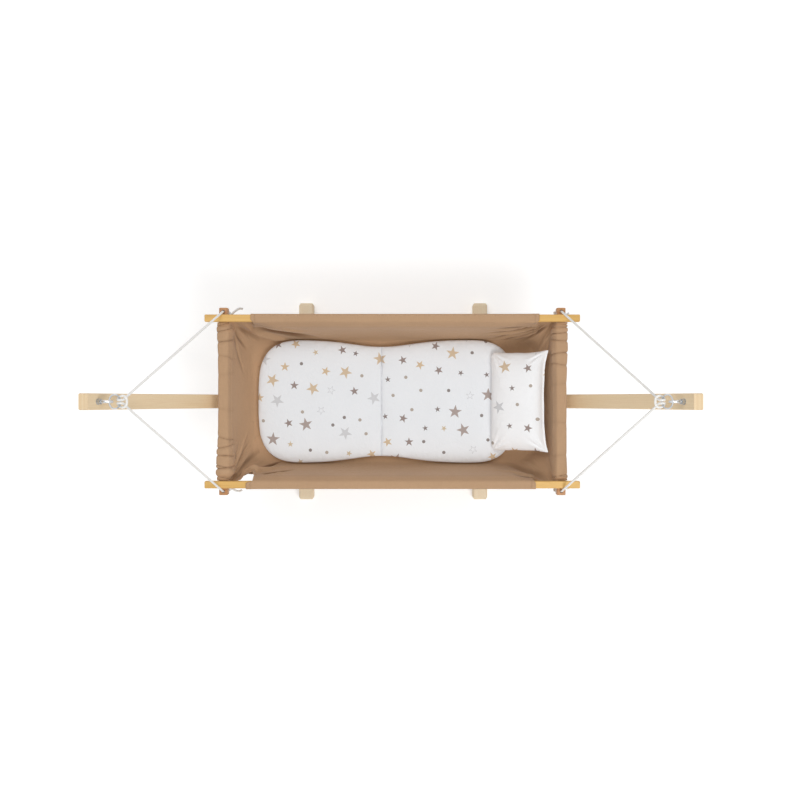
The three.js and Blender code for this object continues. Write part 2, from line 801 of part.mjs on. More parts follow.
// A closed cushion over a grid from -1 to 1 each way: a place in plan, and a top and a bottom that
// meet at its edge.
function cushion(alongSteps, acrossSteps, place, top, bottom) {
  const triangles = [];
  const point = (s, t, height) => {
    const [x, y] = place(s, t);
    return new THREE.Vector3(x, y, height(s, t));
  };
  for (let i = 0; i + 1 < alongSteps.length; i += 1) {
    for (let j = 0; j + 1 < acrossSteps.length; j += 1) {
      const [s0, s1] = [alongSteps[i], alongSteps[i + 1]];
      const [t0, t1] = [acrossSteps[j], acrossSteps[j + 1]];
      const upper = [[s0, t0], [s1, t0], [s1, t1], [s0, t1]].map(([s, t]) => point(s, t, top));
      const lower = [[s0, t0], [s0, t1], [s1, t1], [s1, t0]].map(([s, t]) => point(s, t, bottom));
      triangles.push(upper[0], upper[1], upper[2], upper[0], upper[2], upper[3]);
      triangles.push(lower[0], lower[1], lower[2], lower[0], lower[2], lower[3]);
    }
  }
  return sewn(triangles);
}

// Steps from -1 to 1 that are finer towards the ends
function easedSteps(count) {
  return Array.from({ length: count + 1 }, (_, i) => Math.sin((i / count - 0.5) * Math.PI));
}

const mattressBottom = floorHeight + clothThickness / 2 + seatGap;

function mattress() {
  const half = mattressLength / 2;
  const waist = (x) => Math.exp(-(((x + waistShift) / waistLength) ** 2));
  const halfWidth = (x) => (mattressWidth - (mattressWidth - waistWidth) * waist(x)) / 2;
  const rounding = (x) => {
    const share = Math.max(Math.abs(x) - half + mattressEndRound, 0) / mattressEndRound;
    return Math.max(1 - share ** mattressEndFullness, 0) ** (1 / mattressEndFullness);
  };
  const place = (s, t) => [s * half, t * halfWidth(s * half) * rounding(s * half)];
  const fullness = (s, t, sharpness) => (
    Math.sqrt((1 - Math.abs(s) ** (3 * sharpness)) * (1 - Math.abs(t) ** sharpness))
  );
  const edge = 0.42 * mattressThickness;
  const groove = (s) => seamDepth * Math.exp(-(((s * half + waistShift) / seamWidth) ** 2));
  const top = (s, t) => edge + (mattressThickness - edge - groove(s)) * fullness(s, t, 5);
  const bottom = (s, t) => edge * (1 - fullness(s, t, 14));
  const seamSteps = [-1.8, -0.8, 0, 0.8, 1.8].map((share) => (share * seamWidth - waistShift) / half);
  const outer = easedSteps(24).filter((s) => Math.abs(s * half + waistShift) > 2.4 * seamWidth);
  const steps = [...outer, ...seamSteps].sort((a, b) => a - b);
  const body = cushion(steps, easedSteps(12), place, top, bottom);
  return body.translate(mattressHeadEnd - half, 0, mattressBottom);
}

function pillow() {
  const halfLength = pillowLength / 2;
  const halfWidth = pillowWidth / 2;
  const place = (s, t) => [
    s * (halfLength - (s > 0 ? pillowHeadDraw : pillowFootDraw) * (1 - t ** 4)),
    t * (halfWidth - pillowSideDraw * (1 - s ** 4)),
  ];
  const fullness = (s, t) => ((1 - s ** 4) * (1 - t ** 4)) ** 0.6;
  const top = (s, t) => pillowCrown * fullness(s, t);
  const bottom = (s, t) => -pillowBelly * fullness(s, t);
  const body = cushion(easedSteps(12), easedSteps(14), place, top, bottom);
  const tilt = THREE.MathUtils.degToRad(pillowTilt);
  const x = rimX + pillowHeadReach - halfLength * Math.cos(tilt);
  return body.rotateY(-tilt).translate(x, 0, mattressBottom + mattressThickness + pillowRise);
}

// Assembly

const paleWood = { color: 0xdcc29c, roughness: 0.5, metalness: 0 };
const goldenWood = { color: 0xd9ad62, roughness: 0.5, metalness: 0 };
const redWood = { color: 0xc08a5c, roughness: 0.55, metalness: 0 };
const zinc = { color: 0xc4c6c8, roughness: 0.35, metalness: 1 };
const whiteRope = { color: 0xf1eee8, roughness: 0.9, metalness: 0 };
const brownCloth = { color: 0xa37f5f, roughness: 0.95, metalness: 0 };
const printedCotton = { color: 0xf2f1f0, roughness: 0.9, metalness: 0 };

const hammock = new THREE.Group();
const rightEnd = new THREE.Group();
const leftEnd = new THREE.Group();
leftEnd.rotation.z = Math.PI;
hammock.add(rightEnd, leftEnd);

function add(name, geometry, finish, parent = hammock) {
  const mesh = new THREE.Mesh(geometry, new THREE.MeshStandardMaterial(finish));
  mesh.name = name;
  parent.add(mesh);
}

const headSeat = new THREE.Vector3(footX, 0, headPocketFloor);
const nutSeat = new THREE.Vector3(footX, 0, nutPocketTop);
const eyeOuterSeat = inPlane(bowPoint(eyeAngle, bowThickness));
const down = Z.clone().negate();
const outwards = eyeNormal.clone().negate();

for (const [side, end] of [['right', rightEnd], ['left', leftEnd]]) {
  const half = bowHalf(side === 'right');
  add(`bow_half_${side}`, cut(half, ...bowHoles()), paleWood, end);
  add(`foot_${side}`, foot(), paleWood, end);
  add(`foot_bolt_${side}`, seated(footBolt(headPocketFloor - footBoltEnd), headSeat, Z), zinc, end);
  add(`foot_head_washer_${side}`, seated(washer(), headSeat, Z), zinc, end);
  add(`foot_nut_washer_${side}`, seated(washer(), nutSeat, down), zinc, end);
  add(`foot_nut_${side}`, seated(nut(), nutSeat, down), zinc, end);

  const lapInner = inPlane(bowPoint(lapBoltAngle, 0));
  const lapOuter = inPlane(bowPoint(lapBoltAngle, bowThickness));
  const lapNormal = bowNormal(lapBoltAngle);
  add(`lap_bolt_${side}`, seated(connectorBolt(), lapOuter, lapNormal.clone().negate()), zinc, end);
  add(`lap_sleeve_nut_${side}`, seated(sleeveNut(), lapInner, lapNormal), zinc, end);

  add(`eye_bolt_${side}`, eyeBolt(), zinc, end);
  add(`eye_inner_washer_${side}`, seated(washer(), eyeSeat, eyeNormal), zinc, end);
  add(`eye_inner_nut_${side}`, seated(nut(), eyeSeat, eyeNormal), zinc, end);
  add(`eye_outer_washer_${side}`, seated(washer(), eyeOuterSeat, outwards), zinc, end);
  add(`eye_outer_nut_${side}`, seated(nut(), eyeOuterSeat, outwards), zinc, end);

  add(`ring_${side}`, ring(), zinc, end);
  // The tails of both ropes point to the right.
  add(`rope_${side}`, rope(side === 'right' ? 1 : -1), whiteRope, end);
  add(`cross_bar_${side}`, bar(), redWood, end);
  add(`rail_${side === 'right' ? 'back' : 'front'}`, rail(), goldenWood, end);
  for (const rank of [1, -1]) {
    const screw = frameScrew().translate(barX, rank * railY, barBottom + seatGap);
    add(`frame_screw_${side}_${rank > 0 ? 'a' : 'b'}`, screw, zinc, end);
  }
}

add('sling', sling(), brownCloth);
add('mattress', mattress(), printedCotton);
add('pillow', pillow(), printedCotton);

console.log(`swing axis: ${swingHeight.toFixed(2)} mm above the floor`);

export default hammock;
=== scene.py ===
import math

import bpy
from mathutils import Matrix, Vector, noise


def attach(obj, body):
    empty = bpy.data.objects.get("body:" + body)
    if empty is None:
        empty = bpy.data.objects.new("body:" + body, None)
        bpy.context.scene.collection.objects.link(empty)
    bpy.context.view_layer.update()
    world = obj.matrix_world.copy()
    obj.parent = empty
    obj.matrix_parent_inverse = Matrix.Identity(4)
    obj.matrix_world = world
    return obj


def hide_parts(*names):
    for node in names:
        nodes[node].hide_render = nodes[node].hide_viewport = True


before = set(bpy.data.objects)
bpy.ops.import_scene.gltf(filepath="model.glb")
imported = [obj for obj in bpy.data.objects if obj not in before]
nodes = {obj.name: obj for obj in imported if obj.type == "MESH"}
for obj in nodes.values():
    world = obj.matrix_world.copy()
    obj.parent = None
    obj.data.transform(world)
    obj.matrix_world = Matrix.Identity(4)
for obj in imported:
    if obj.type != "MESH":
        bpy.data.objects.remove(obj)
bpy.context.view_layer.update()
millimetre = 0.001
print("frame loaded:", len(nodes), "nodes")


# Camera: straight above, as in the photograph

camera = {
    "place": (0.0215, 0.004, 2.734),
    "lens": 38.25,
    "sensor": 36.0,
}

cameraData = bpy.data.cameras.new("camera")
cameraData.lens = camera["lens"]
cameraData.sensor_width = camera["sensor"]
cameraObject = bpy.data.objects.new("camera", cameraData)
cameraObject.location = camera["place"]
bpy.context.scene.collection.objects.link(cameraObject)
bpy.context.scene.camera = cameraObject
bpy.context.scene.view_settings.view_transform = "Standard"


# Small helpers

def lerp(a, b, t):
    return a + (b - a) * t


def smooth(t):
    t = min(max(t, 0.0), 1.0)
    return t * t * (3 - 2 * t)


def bump(distance, width):  # 1 at zero distance, 0 from one width away
    return smooth(1 - abs(distance) / width)


def spread(low, high, count):
    return [lerp(low, high, i / (count - 1)) for i in range(count)]


def waver(x, y, z=0.0, size=1.0):  # smooth noise from -1 to 1 over lengths of about size
    return noise.noise(Vector((x, y, z)) / size)


def linear(red, green, blue):  # a colour as the eye reads it, 0 to 255, for a shader
    def channel(value):
        value /= 255
        return value / 12.92 if value <= 0.04045 else ((value + 0.055) / 1.055) ** 2.4
    return (channel(red), channel(green), channel(blue), 1.0)


def meshPiece(name, points, faces, places=None, paintedShades=None):
    mesh = bpy.data.meshes.new(name)
    mesh.from_pydata([tuple(p) for p in points], [], faces)
    # the second layer, when given, holds how much painted shade darkens the colour there
    for label, values in (("place", places), ("hollow", paintedShades)):
        if values is not None:
            layer = mesh.uv_layers.new(name=label)
            for loop in mesh.loops:
                layer.data[loop.index].uv = values[loop.vertex_index]
    mesh.polygons.foreach_set("use_smooth", [True] * len(mesh.polygons))
    piece = bpy.data.objects.new(name, mesh)
    bpy.context.scene.collection.objects.link(piece)
    return piece


def gridFaces(rows, columns, closedRows=False, closedColumns=False):
    faces = []
    for i in range(rows if closedRows else rows - 1):
        for j in range(columns if closedColumns else columns - 1):
            k = (i + 1) % rows
            m = (j + 1) % columns
            faces.append((i * columns + j, i * columns + m, k * columns + m, k * columns + j))
    return faces


def finishWith(piece, material, slot, body, *replaced):
    piece.data.materials.clear()
    piece.data.materials.append(material)
    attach(piece, body)
    if replaced:
        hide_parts(*replaced)
    return piece


# Ropes: the route of part.mjs, in metres

frameSizes = {
    "barX": 0.474,
    "railY": 0.232,
    "railTop": 0.371,
    "railSize": 0.020,
    "barSize": 0.024,
    "seatGap": 0.0003,
    "ropeHoleY": 0.252,
}
frameSizes["barTop"] = frameSizes["railTop"] - frameSizes["railSize"] - frameSizes["seatGap"]
frameSizes["barBottom"] = frameSizes["barTop"] - frameSizes["barSize"]

bow = {
    "thickness": 0.025,
    "bottomRadius": 0.640,
    "bottomSweep": math.radians(60),
    "armRadius": 1.553,
    "armSweep": math.radians(15.3),
    "floorGap": 0.012,
}
bow["centreZ"] = bow["floorGap"] + bow["thickness"] + bow["bottomRadius"]
bow["armShift"] = bow["armRadius"] - bow["bottomRadius"]
bow["armCentre"] = (
    -bow["armShift"] * math.sin(bow["bottomSweep"]),
    bow["centreZ"] + bow["armShift"] * math.cos(bow["bottomSweep"]),
)

eye = {
    "fromTip": 0.039,
    "reach": 0.0267,
    "holeDiameter": 0.015,
    "ringHoleDiameter": 0.030,
    "ringWire": 0.004,
    "ringSlack": 0.0005,
}
eye["angle"] = bow["bottomSweep"] + bow["armSweep"] - eye["fromTip"] / bow["armRadius"]
eye["normal"] = Vector((-math.sin(eye["angle"]), 0, math.cos(eye["angle"])))
eye["seat"] = Vector((
    bow["armCentre"][0] + bow["armRadius"] * math.sin(eye["angle"]),
    0,
    bow["armCentre"][1] - bow["armRadius"] * math.cos(eye["angle"]),
))
eye["centre"] = eye["seat"] + eye["normal"] * eye["reach"]

rope = {
    "diameter": 0.006,
    "girth": 0.019,
    "fromBar": 0.002,  # where it crosses the rail, from the bar's middle
    "aboveRail": 0.0002,
    "aboveHole": (0.0003, -0.0008, 0.003),  # where it turns down, from the top of the bar's hole
    "knotRadius": 0.0082,
    "knotDepth": 0.0041,
    "knotDrop": 0.020,
    "knotTurns": (math.radians(16), math.radians(338), 15),
    # each tail's way from its knot, to the right, outwards and up, in mm
    "tailStart": [(-1, -7.6, 12.2), (7, -9.6, 12.6)],
    "tails": {
        ("right", 1): [(16, -8, 8), (25, -3, -2), (31, 1, -13)],
        ("right", -1): [(16, -8, 8), (25, -4, -3), (30, -2, -15)],
        ("left", 1): [(17, -4, 10), (27, 6, 7), (38, 13, 4), (45, 13, -4)],
        ("left", -1): [(17, -5, 9), (27, 2, 4), (36, 5, -4), (41, 3, -12)],
    },
    "sides": 16,
    "stepsPerStretch": 10,
    "spacing": 0.0012,
    "braid": {"pitch": 0.0085, "strands": 4, "rise": 0.07, "sink": 0.03},
    "larksHead": [  # across the ring, along the pull and out of the ring's plane, in mm
        (0, 10.2, 11), (6, 10, 10.6), (12, 8, 8), (14.2, 5.2, 0.6), (10.6, 2, -5.8), (5.6, -2.4, -6.3),
        (3.9, -6.5, -1), (3.9, -4.2, 4.8), (4.2, 2.4, 5.8), (6.8, 9.6, 3.2), (12.8, 19.2, 0.6),
    ],
}


def overRail():
    edge = Vector((
        frameSizes["barX"] + rope["fromBar"],
        frameSizes["railY"] + frameSizes["railSize"] / 2,
        frameSizes["railTop"],
    ))
    step = (rope["diameter"] / 2 + frameSizes["seatGap"]) / math.sqrt(2) + rope["aboveRail"]
    return edge + Vector((0, step, step))


def ringPlaces():
    top = overRail()
    pull = (Vector((top.x, 0, top.z)) - eye["centre"]).normalized()
    radius = (eye["ringHoleDiameter"] + eye["ringWire"]) / 2
    offset = (eye["holeDiameter"] - eye["ringWire"]) / 2 - eye["ringSlack"]
    centre = eye["centre"] + pull * (offset + radius)
    across = Vector((0, 1, 0))
    return centre, across, pull, across.cross(pull), radius


def stopperKnot(tailSide, tail):
    centre = Vector((frameSizes["barX"], frameSizes["ropeHoleY"], frameSizes["barBottom"] - rope["knotDrop"]))
    points = []
    for turn in spread(*rope["knotTurns"]):
        radius = rope["knotRadius"] + rope["knotDepth"] * math.cos(3 * turn)
        points.append(centre + Vector((
            tailSide * radius * math.sin(2 * turn),
            rope["knotDepth"] * math.sin(3 * turn),
            radius * math.cos(2 * turn),
        )))
    for x, y, z in [*rope["tailStart"], *tail]:
        points.append(centre + Vector((tailSide * x, y, z)) * millimetre)
    return points


def ropeHalf(tailSide, tail):
    centre, across, pull, out, radius = ringPlaces()
    head = [
        centre + across * x * millimetre + pull * (radius + y * millimetre) + out * z * millimetre
        for x, y, z in rope["larksHead"]
    ]
    top = overRail()
    hole = Vector((frameSizes["barX"], frameSizes["ropeHoleY"], frameSizes["barTop"]))
    return [
        *head,
        head[-1].lerp(top, 0.5),
        top,
        hole + Vector(rope["aboveHole"]),
        hole - Vector((0, 0, frameSizes["barSize"] / 2)),
        hole - Vector((0, 0, frameSizes["barSize"])),
        *stopperKnot(tailSide, tail),
    ]


def ropeRoute(side):
    turn = 1 if side == "right" else -1
    back, front = (ropeHalf(turn, rope["tails"][side, turn * half]) for half in (1, -1))
    front = [Vector((p.x, -p.y, p.z)) for p in reversed(front[1:])]
    return [Vector((p.x * turn, p.y * turn, p.z)) for p in front + back]


def centripetal(points, steps):  # a centripetal Catmull-Rom curve through the points
    ends = [points[0] * 2 - points[1], *points, points[-1] * 2 - points[-2]]
    route = []
    for p0, p1, p2, p3 in zip(ends, ends[1:], ends[2:], ends[3:]):
        t1 = (p1 - p0).length ** 0.5
        t2 = t1 + (p2 - p1).length ** 0.5
        t3 = t2 + (p3 - p2).length ** 0.5
        for i in range(steps):
            t = lerp(t1, t2, i / steps)
            a1 = p0 * ((t1 - t) / t1) + p1 * (t / t1)
            a2 = p1 * ((t2 - t) / (t2 - t1)) + p2 * ((t - t1) / (t2 - t1))
            a3 = p2 * ((t3 - t) / (t3 - t2)) + p3 * ((t - t2) / (t3 - t2))
            b1 = a1 * ((t2 - t) / t2) + a2 * (t / t2)
            b2 = a2 * ((t3 - t) / (t3 - t1)) + a3 * ((t - t1) / (t3 - t1))
            route.append(b1 * ((t2 - t) / (t2 - t1)) + b2 * ((t - t1) / (t2 - t1)))
    route.append(points[-1].copy())
    return route


def evenly(route, step):  # the same line with points a step apart
    lengths = [0.0]
    for a, b in zip(route, route[1:]):
        lengths.append(lengths[-1] + (b - a).length)
    count = round(lengths[-1] / step) + 1
    result = []
    k = 0
    for distance in spread(0, lengths[-1], count):
        while k < len(route) - 2 and lengths[k + 1] < distance:
            k += 1
        share = (distance - lengths[k]) / (lengths[k + 1] - lengths[k])
        result.append(route[k].lerp(route[k + 1], share))
    return result, lengths[-1]


def tube(name, route, radius, sides, lift=None):  # lift(along, around) scales the radius a little
    points, places = [], []
    tangent = (route[1] - route[0]).normalized()
    side = tangent.orthogonal().normalized()
    along = 0.0
    for i, place in enumerate(route):
        before = route[max(i - 1, 0)]
        after = route[min(i + 1, len(route) - 1)]
        newTangent = (after - before).normalized()
        side = (tangent.rotation_difference(newTangent) @ side).normalized()
        tangent = newTangent
        if i:
            along += (place - route[i - 1]).length
        up = tangent.cross(side)
        for j in range(sides):
            angle = 2 * math.pi * j / sides
            size = radius * (1 + (lift(along, angle) if lift else 0))
            points.append(place + (side * math.cos(angle) + up * math.sin(angle)) * size)
            places.append((along, j / sides))
    faces = gridFaces(len(route), sides, closedColumns=True)
    for ring in (0, len(route) - 1):  # a fan of triangles closes each end
        for j in range(sides):
            a, b = ring * sides + j, ring * sides + (j + 1) % sides
            faces.append((len(points), a, b) if ring else (len(points), b, a))
        points.append(route[ring])
        places.append((0, 0))
    return meshPiece(name, points, faces, places)


def braid(along, angle):  # raised strands that cross over and under
    values = rope["braid"]
    turns = 4 * math.pi * along / values["pitch"]
    strands = (math.cos(values["strands"] * angle + way * turns) for way in (1, -1))
    return values["rise"] * max(strands) - values["sink"]


ropePieces = []
for side in ("right", "left"):
    route, ropeLength = evenly(centripetal(ropeRoute(side), rope["stepsPerStretch"]), rope["spacing"])
    piece = tube(f"suspension_rope_{side}", route, rope["diameter"] / 2, rope["sides"], braid)
    ropePieces.append((side, piece))
    print(f"rope {side}: {ropeLength:.3f} m")


# Cloth: lets a mesh settle with some points held, and keeps each point near where it started

def settle(piece, held, slack, frames, cap, pressure=0.0, gravity=0.0, stiffness=15.0, bending=0.5):
    start = [v.co.copy() for v in piece.data.vertices]
    for name, weights in (("held", held), ("slack", slack)):
        group = piece.vertex_groups.new(name=name)
        for index, weight in enumerate(weights):
            group.add([index], weight, "REPLACE")
    cloth = piece.modifiers.new("cloth", "CLOTH")
    settings = cloth.settings
    settings.quality = 6
    settings.mass = 0.2
    settings.air_damping = 4
    settings.tension_stiffness = stiffness
    settings.compression_stiffness = stiffness
    settings.shear_stiffness = stiffness / 3
    settings.bending_stiffness = bending
    settings.vertex_group_mass = "held"
    settings.vertex_group_shrink = "slack"
    settings.shrink_min = 0.0
    settings.shrink_max = -0.12
    settings.use_pressure = pressure > 0
    settings.uniform_pressure_force = pressure
    settings.effector_weights.gravity = gravity
    cloth.point_cache.frame_start = 1
    cloth.point_cache.frame_end = frames
    scene = bpy.context.scene
    for step in range(1, frames + 1):
        scene.frame_set(step)
    settled = piece.evaluated_get(bpy.context.evaluated_depsgraph_get())
    ends = [v.co.copy() for v in settled.data.vertices]
    piece.modifiers.clear()
    piece.vertex_groups.clear()
    scene.frame_set(1)
    for vertex, a, b in zip(piece.data.vertices, start, ends):
        move = b - a
        if move.length > cap:
            move *= cap / move.length
        vertex.co = a + move
    piece.data.update()


# Sling: one sheet with floor and walls, which runs on into four sleeves round the rails and bars

sling = {
    "thickness": 0.0015,
    "partThickness": 0.0024,  # as it is in part.mjs
    "floorZ": 0.240,
    "floorLength": 0.800,
    "floorWidth": 0.352,
    "floorCorner": 0.070,
    "floorBend": 0.030,
    "rimCorner": 0.004,
    "flare": 0.25,  # how much sooner the walls lean out than a straight slope does
    "wallHeight": 0.117,
    "seamDrop": 0.008,
    "sideSeam": 0.036,
    "endSeam": 0.035,
    "endSleeveLength": 0.4425,
    "steps": [(0.0, 0.0017), (0.070, 0.0021), (0.150, 0.0034), (0.240, 0.0090)],  # from the corner
    "step": 0.003,
    "wallRows": 36,
    "rowEase": 1.05,  # above 1 the rows are closer together near the floor
    "slack": 0.25,  # of the walls away from the corners, as a share of the most
    "slackReach": 0.24,  # from a corner, in which it grows to the most
    "looseFrom": -0.1,  # the level below which the floor is held
    "looseOver": 0.4,
    "rimHold": 0.9,  # where the rim isn't sewn to a sleeve
    "floorWaver": {"height": 0.0012, "size": 0.09},
}
sling["wrap"] = frameSizes["seatGap"] + sling["partThickness"]
sling["rimY"] = frameSizes["railY"] + frameSizes["railSize"] / 2 + sling["wrap"] - sling["sideSeam"]
sling["rimX"] = frameSizes["barX"] + frameSizes["barSize"] / 2 + sling["wrap"] - sling["endSeam"]
sling["sideRimZ"] = frameSizes["railTop"] - frameSizes["railSize"] / 2 - sling["seamDrop"]
sling["endRimZ"] = frameSizes["barTop"] - frameSizes["barSize"] / 2 - sling["seamDrop"]

# Where each side sleeve ends and where its wall leaves it, and the wall's free edge from there to
# the corner, which is pulled under the rail: distance along X, push outwards, drop
freeEdges = {
    (1, 1): {"sleeve": 0.409, "seam": 0.405, "stops": [
        (0.330, 0.0, 0.0), (0.405, 0.0090, 0.006), (0.415, 0.0205, 0.0135), (0.446, 0.0215, 0.0145),
    ]},
    (-1, 1): {"sleeve": 0.394, "seam": 0.390, "stops": [
        (0.330, 0.0, 0.0), (0.390, 0.0090, 0.006), (0.400, 0.0205, 0.0135), (0.446, 0.0215, 0.0145),
    ]},
    (-1, -1): {"sleeve": 0.407, "seam": 0.390, "stops": [
        (0.330, 0.0, 0.0), (0.387, 0.0020, 0.002), (0.393, -0.0125, 0.010), (0.412, -0.0060, 0.015),
        (0.431, 0.0125, 0.016), (0.446, 0.0205, 0.0145),
    ]},
    (1, -1): {"sleeve": 0.399, "seam": 0.395, "stops": [
        (0.330, 0.0, 0.0), (0.395, 0.0090, 0.006), (0.405, 0.0205, 0.0135), (0.446, 0.0215, 0.0145),
    ]},
}

# How far folds wander, in degrees and over which length, the painted shade below a crease in half
# widths of the fold, the height at which it is full, and the share of the wall in which folds start and end
foldShape = {
    "wander": 2.5,
    "wanderSize": 0.06,
    "shadeShift": 0.5,
    "shadeWidth": 1.3,
    "shadeRise": 1.3,
    "fullShade": 0.010,
    "start": 0.25,
    "end": 0.1,
}

# Folds that fan out of a corner: their direction in degrees (0 along the side sleeve, 90 down the
# corner, 180 along the end sleeve), half width, height, and where they start, peak and end
folds = {
    (1, 1): [
        (5, 0.005, -0.0090, 0.070, 0.110, 0.170), (13, 0.006, 0.0060, 0.012, 0.080, 0.190),
        (21, 0.005, -0.0065, 0.015, 0.085, 0.190), (29, 0.007, 0.0085, 0.010, 0.080, 0.185),
        (37, 0.005, -0.0070, 0.010, 0.075, 0.180), (45, 0.007, 0.0090, 0.008, 0.070, 0.170),
        (53, 0.005, -0.0075, 0.008, 0.065, 0.165), (62, 0.007, 0.0080, 0.008, 0.065, 0.150),
        (72, 0.005, -0.0070, 0.008, 0.050, 0.140), (84, 0.008, 0.0060, 0.008, 0.055, 0.130),
        (118, 0.010, 0.0040, 0.010, 0.050, 0.120), (150, 0.007, -0.0040, 0.010, 0.060, 0.160),
    ],
    (-1, 1): [
        (25, 0.015, -0.0100, 0.035, 0.120, 0.240), (11, 0.008, 0.0060, 0.060, 0.140, 0.230),
        (3, 0.004, -0.0050, 0.030, 0.070, 0.130), (50, 0.018, 0.0150, 0.006, 0.085, 0.200),
        (74, 0.009, -0.0050, 0.006, 0.045, 0.110), (96, 0.009, 0.0060, 0.004, 0.040, 0.110),
        (118, 0.007, -0.0060, 0.006, 0.036, 0.090), (150, 0.008, -0.0050, 0.010, 0.050, 0.150),
    ],
    (-1, -1): [
        (56, 0.0085, -0.0150, 0.006, 0.070, 0.185), (40, 0.013, 0.0140, 0.004, 0.055, 0.150),
        (19, 0.006, -0.0070, 0.065, 0.105, 0.170), (11, 0.005, 0.0050, 0.070, 0.105, 0.170),
        (77, 0.014, 0.0060, 0.012, 0.075, 0.170), (98, 0.010, -0.0040, 0.020, 0.080, 0.170),
        (112, 0.008, 0.0050, 0.012, 0.060, 0.150), (127, 0.006, -0.0050, 0.012, 0.055, 0.120),
        (141, 0.008, 0.0050, 0.012, 0.060, 0.140), (155, 0.005, -0.0050, 0.010, 0.045, 0.100),
    ],
    (1, -1): [
        (6, 0.005, -0.0065, 0.040, 0.075, 0.120), (50, 0.016, -0.0050, 0.010, 0.070, 0.150),
        (24, 0.012, 0.0045, 0.010, 0.080, 0.170), (82, 0.010, 0.0050, 0.010, 0.060, 0.140),
        (150, 0.008, -0.0030, 0.008, 0.030, 0.080),
    ],
}

# How rolls wander along the bar, where round it their creases cross the given places, the height
# with a full painted shade, and how they and their painted shade fade down the wall
rollShape = {
    "wander": 0.0030,
    "wanderSize": 0.035,
    "middle": 0.045,
    "fullShade": 0.004,
    "onWall": 0.8,
    "depth": 0.022,
    "shadeDepth": 0.010,
}

# Rolls that the end sleeves are gathered into: how high they stand at places along the bar, and
# the creases between them with their half width and slant
rolls = {
    "left": {
        "seed": 2.0,
        "height": [
            (-0.221, 0.0040), (-0.214, 0.0050), (-0.200, 0.0085), (-0.170, 0.0068), (-0.140, 0.0062),
            (-0.118, 0.0030), (-0.060, 0.0012), (0.060, 0.0010), (0.130, 0.0018), (0.184, 0.0042),
            (0.205, 0.0058), (0.221, 0.0030),
        ],
        "creases": [
            (-0.210, 0.0040, 0.25), (-0.188, 0.0050, -0.10), (-0.1795, 0.0022, 0.30), (-0.151, 0.0055, 0.12),
            (-0.129, 0.0060, -0.15), (-0.100, 0.0090, 0.20), (-0.020, 0.0200, 0.10), (0.075, 0.0160, -0.10),
            (0.128, 0.0100, 0.15), (0.167, 0.0080, -0.20), (0.193, 0.0045, -0.35), (0.211, 0.0035, -0.45),
        ],
    },
    "right": {
        "seed": 5.0,
        "height": [
            (-0.221, 0.0030), (-0.212, 0.0045), (-0.195, 0.0026), (-0.150, 0.0012), (0.040, 0.0010),
            (0.100, 0.0026), (0.150, 0.0052), (0.180, 0.0044), (0.203, 0.0052), (0.221, 0.0040),
        ],
        "creases": [
            (-0.216, 0.0025, 0.1), (-0.205, 0.0035, 0.2), (-0.150, 0.0120, 0.1), (-0.060, 0.0200, -0.1),
            (0.050, 0.0180, 0.1), (0.102, 0.0080, -0.12), (0.137, 0.0060, 0.10), (0.169, 0.0055, -0.15),
            (0.194, 0.0040, 0.10), (0.2075, 0.0028, 0.05), (0.215, 0.0022, -0.05),
        ],
    },
}


def between(stops, x):  # eases from the values at one stop to those at the next
    if x <= stops[0][0]:
        return stops[0][1:]
    for a, b in zip(stops, stops[1:]):
        if x <= b[0]:
            share = smooth((x - a[0]) / (b[0] - a[0]))
            return tuple(lerp(p, q, share) for p, q in zip(a[1:], b[1:]))
    return stops[-1][1:]


def sideShares(length):  # places along a straight side as shares of it, closer together near its ends
    places, place = [], 0.0
    while place < length - 1e-6:
        places.append(place)
        fromEnd = min(place, length - place)
        place += between(sling["steps"], fromEnd)[0]
    return [value / length for value in places]


def slingColumns():
    columns = []
    corners = [(1, 1), (-1, 1), (-1, -1), (1, -1)]
    arc = 14
    for k, (x, y) in enumerate(corners):
        for i in range(arc):
            angle = (k + i / arc) * math.pi / 2
            columns.append({"side": None, "x": x, "y": y, "angle": angle, "corner": (x, y)})
        nextX, nextY = corners[(k + 1) % 4]
        reach = sling["rimX"] if k % 2 == 0 else sling["rimY"]
        for share in sideShares(2 * (reach - sling["rimCorner"])):
            columns.append({
                "side": k, "x": lerp(x, nextX, share), "y": lerp(y, nextY, share),
                "angle": (k + 1) * math.pi / 2, "corner": (x, y) if share < 0.5 else (nextX, nextY),
            })
    return columns


# A point of the sheet, and how far it lies from the corner: along the side, or below 0 along the
# end. Level 0 is the floor's edge and 1 the rim; below 0 lies the floor.
def slingPoint(column, level):
    share = max(level, 0.0)
    ease = sling["floorBend"] / (sling["sideRimZ"] - sling["floorZ"])
    outwards = lerp(share, math.sqrt(share), sling["flare"])
    radius = lerp(sling["floorCorner"], sling["rimCorner"], outwards)
    halfX = lerp(sling["floorLength"] / 2, sling["rimX"], outwards)
    halfY = lerp(sling["floorWidth"] / 2, sling["rimY"], outwards)
    x = column["x"] * (halfX - radius) + radius * math.cos(column["angle"])
    y = column["y"] * (halfY - radius) + radius * math.sin(column["angle"])
    fromCorner = (halfX - abs(x)) - (halfY - abs(y))
    onSide, onEnd = abs(math.sin(column["angle"])), abs(math.cos(column["angle"]))
    push, drop = between(freeEdges[column["corner"]]["stops"], abs(x))
    rimZ = lerp(sling["sideRimZ"], sling["endRimZ"], onEnd) - drop * onSide
    height = share * share / (2 * ease) if share < ease else share - ease / 2
    z = sling["floorZ"] + (rimZ - sling["floorZ"]) * height / (1 - ease / 2)
    y += math.copysign(1.0, y) * push * onSide * share ** 2
    inwards = 1 + min(level, 0.0)
    return Vector((x * inwards, y * inwards, z)), fromCorner
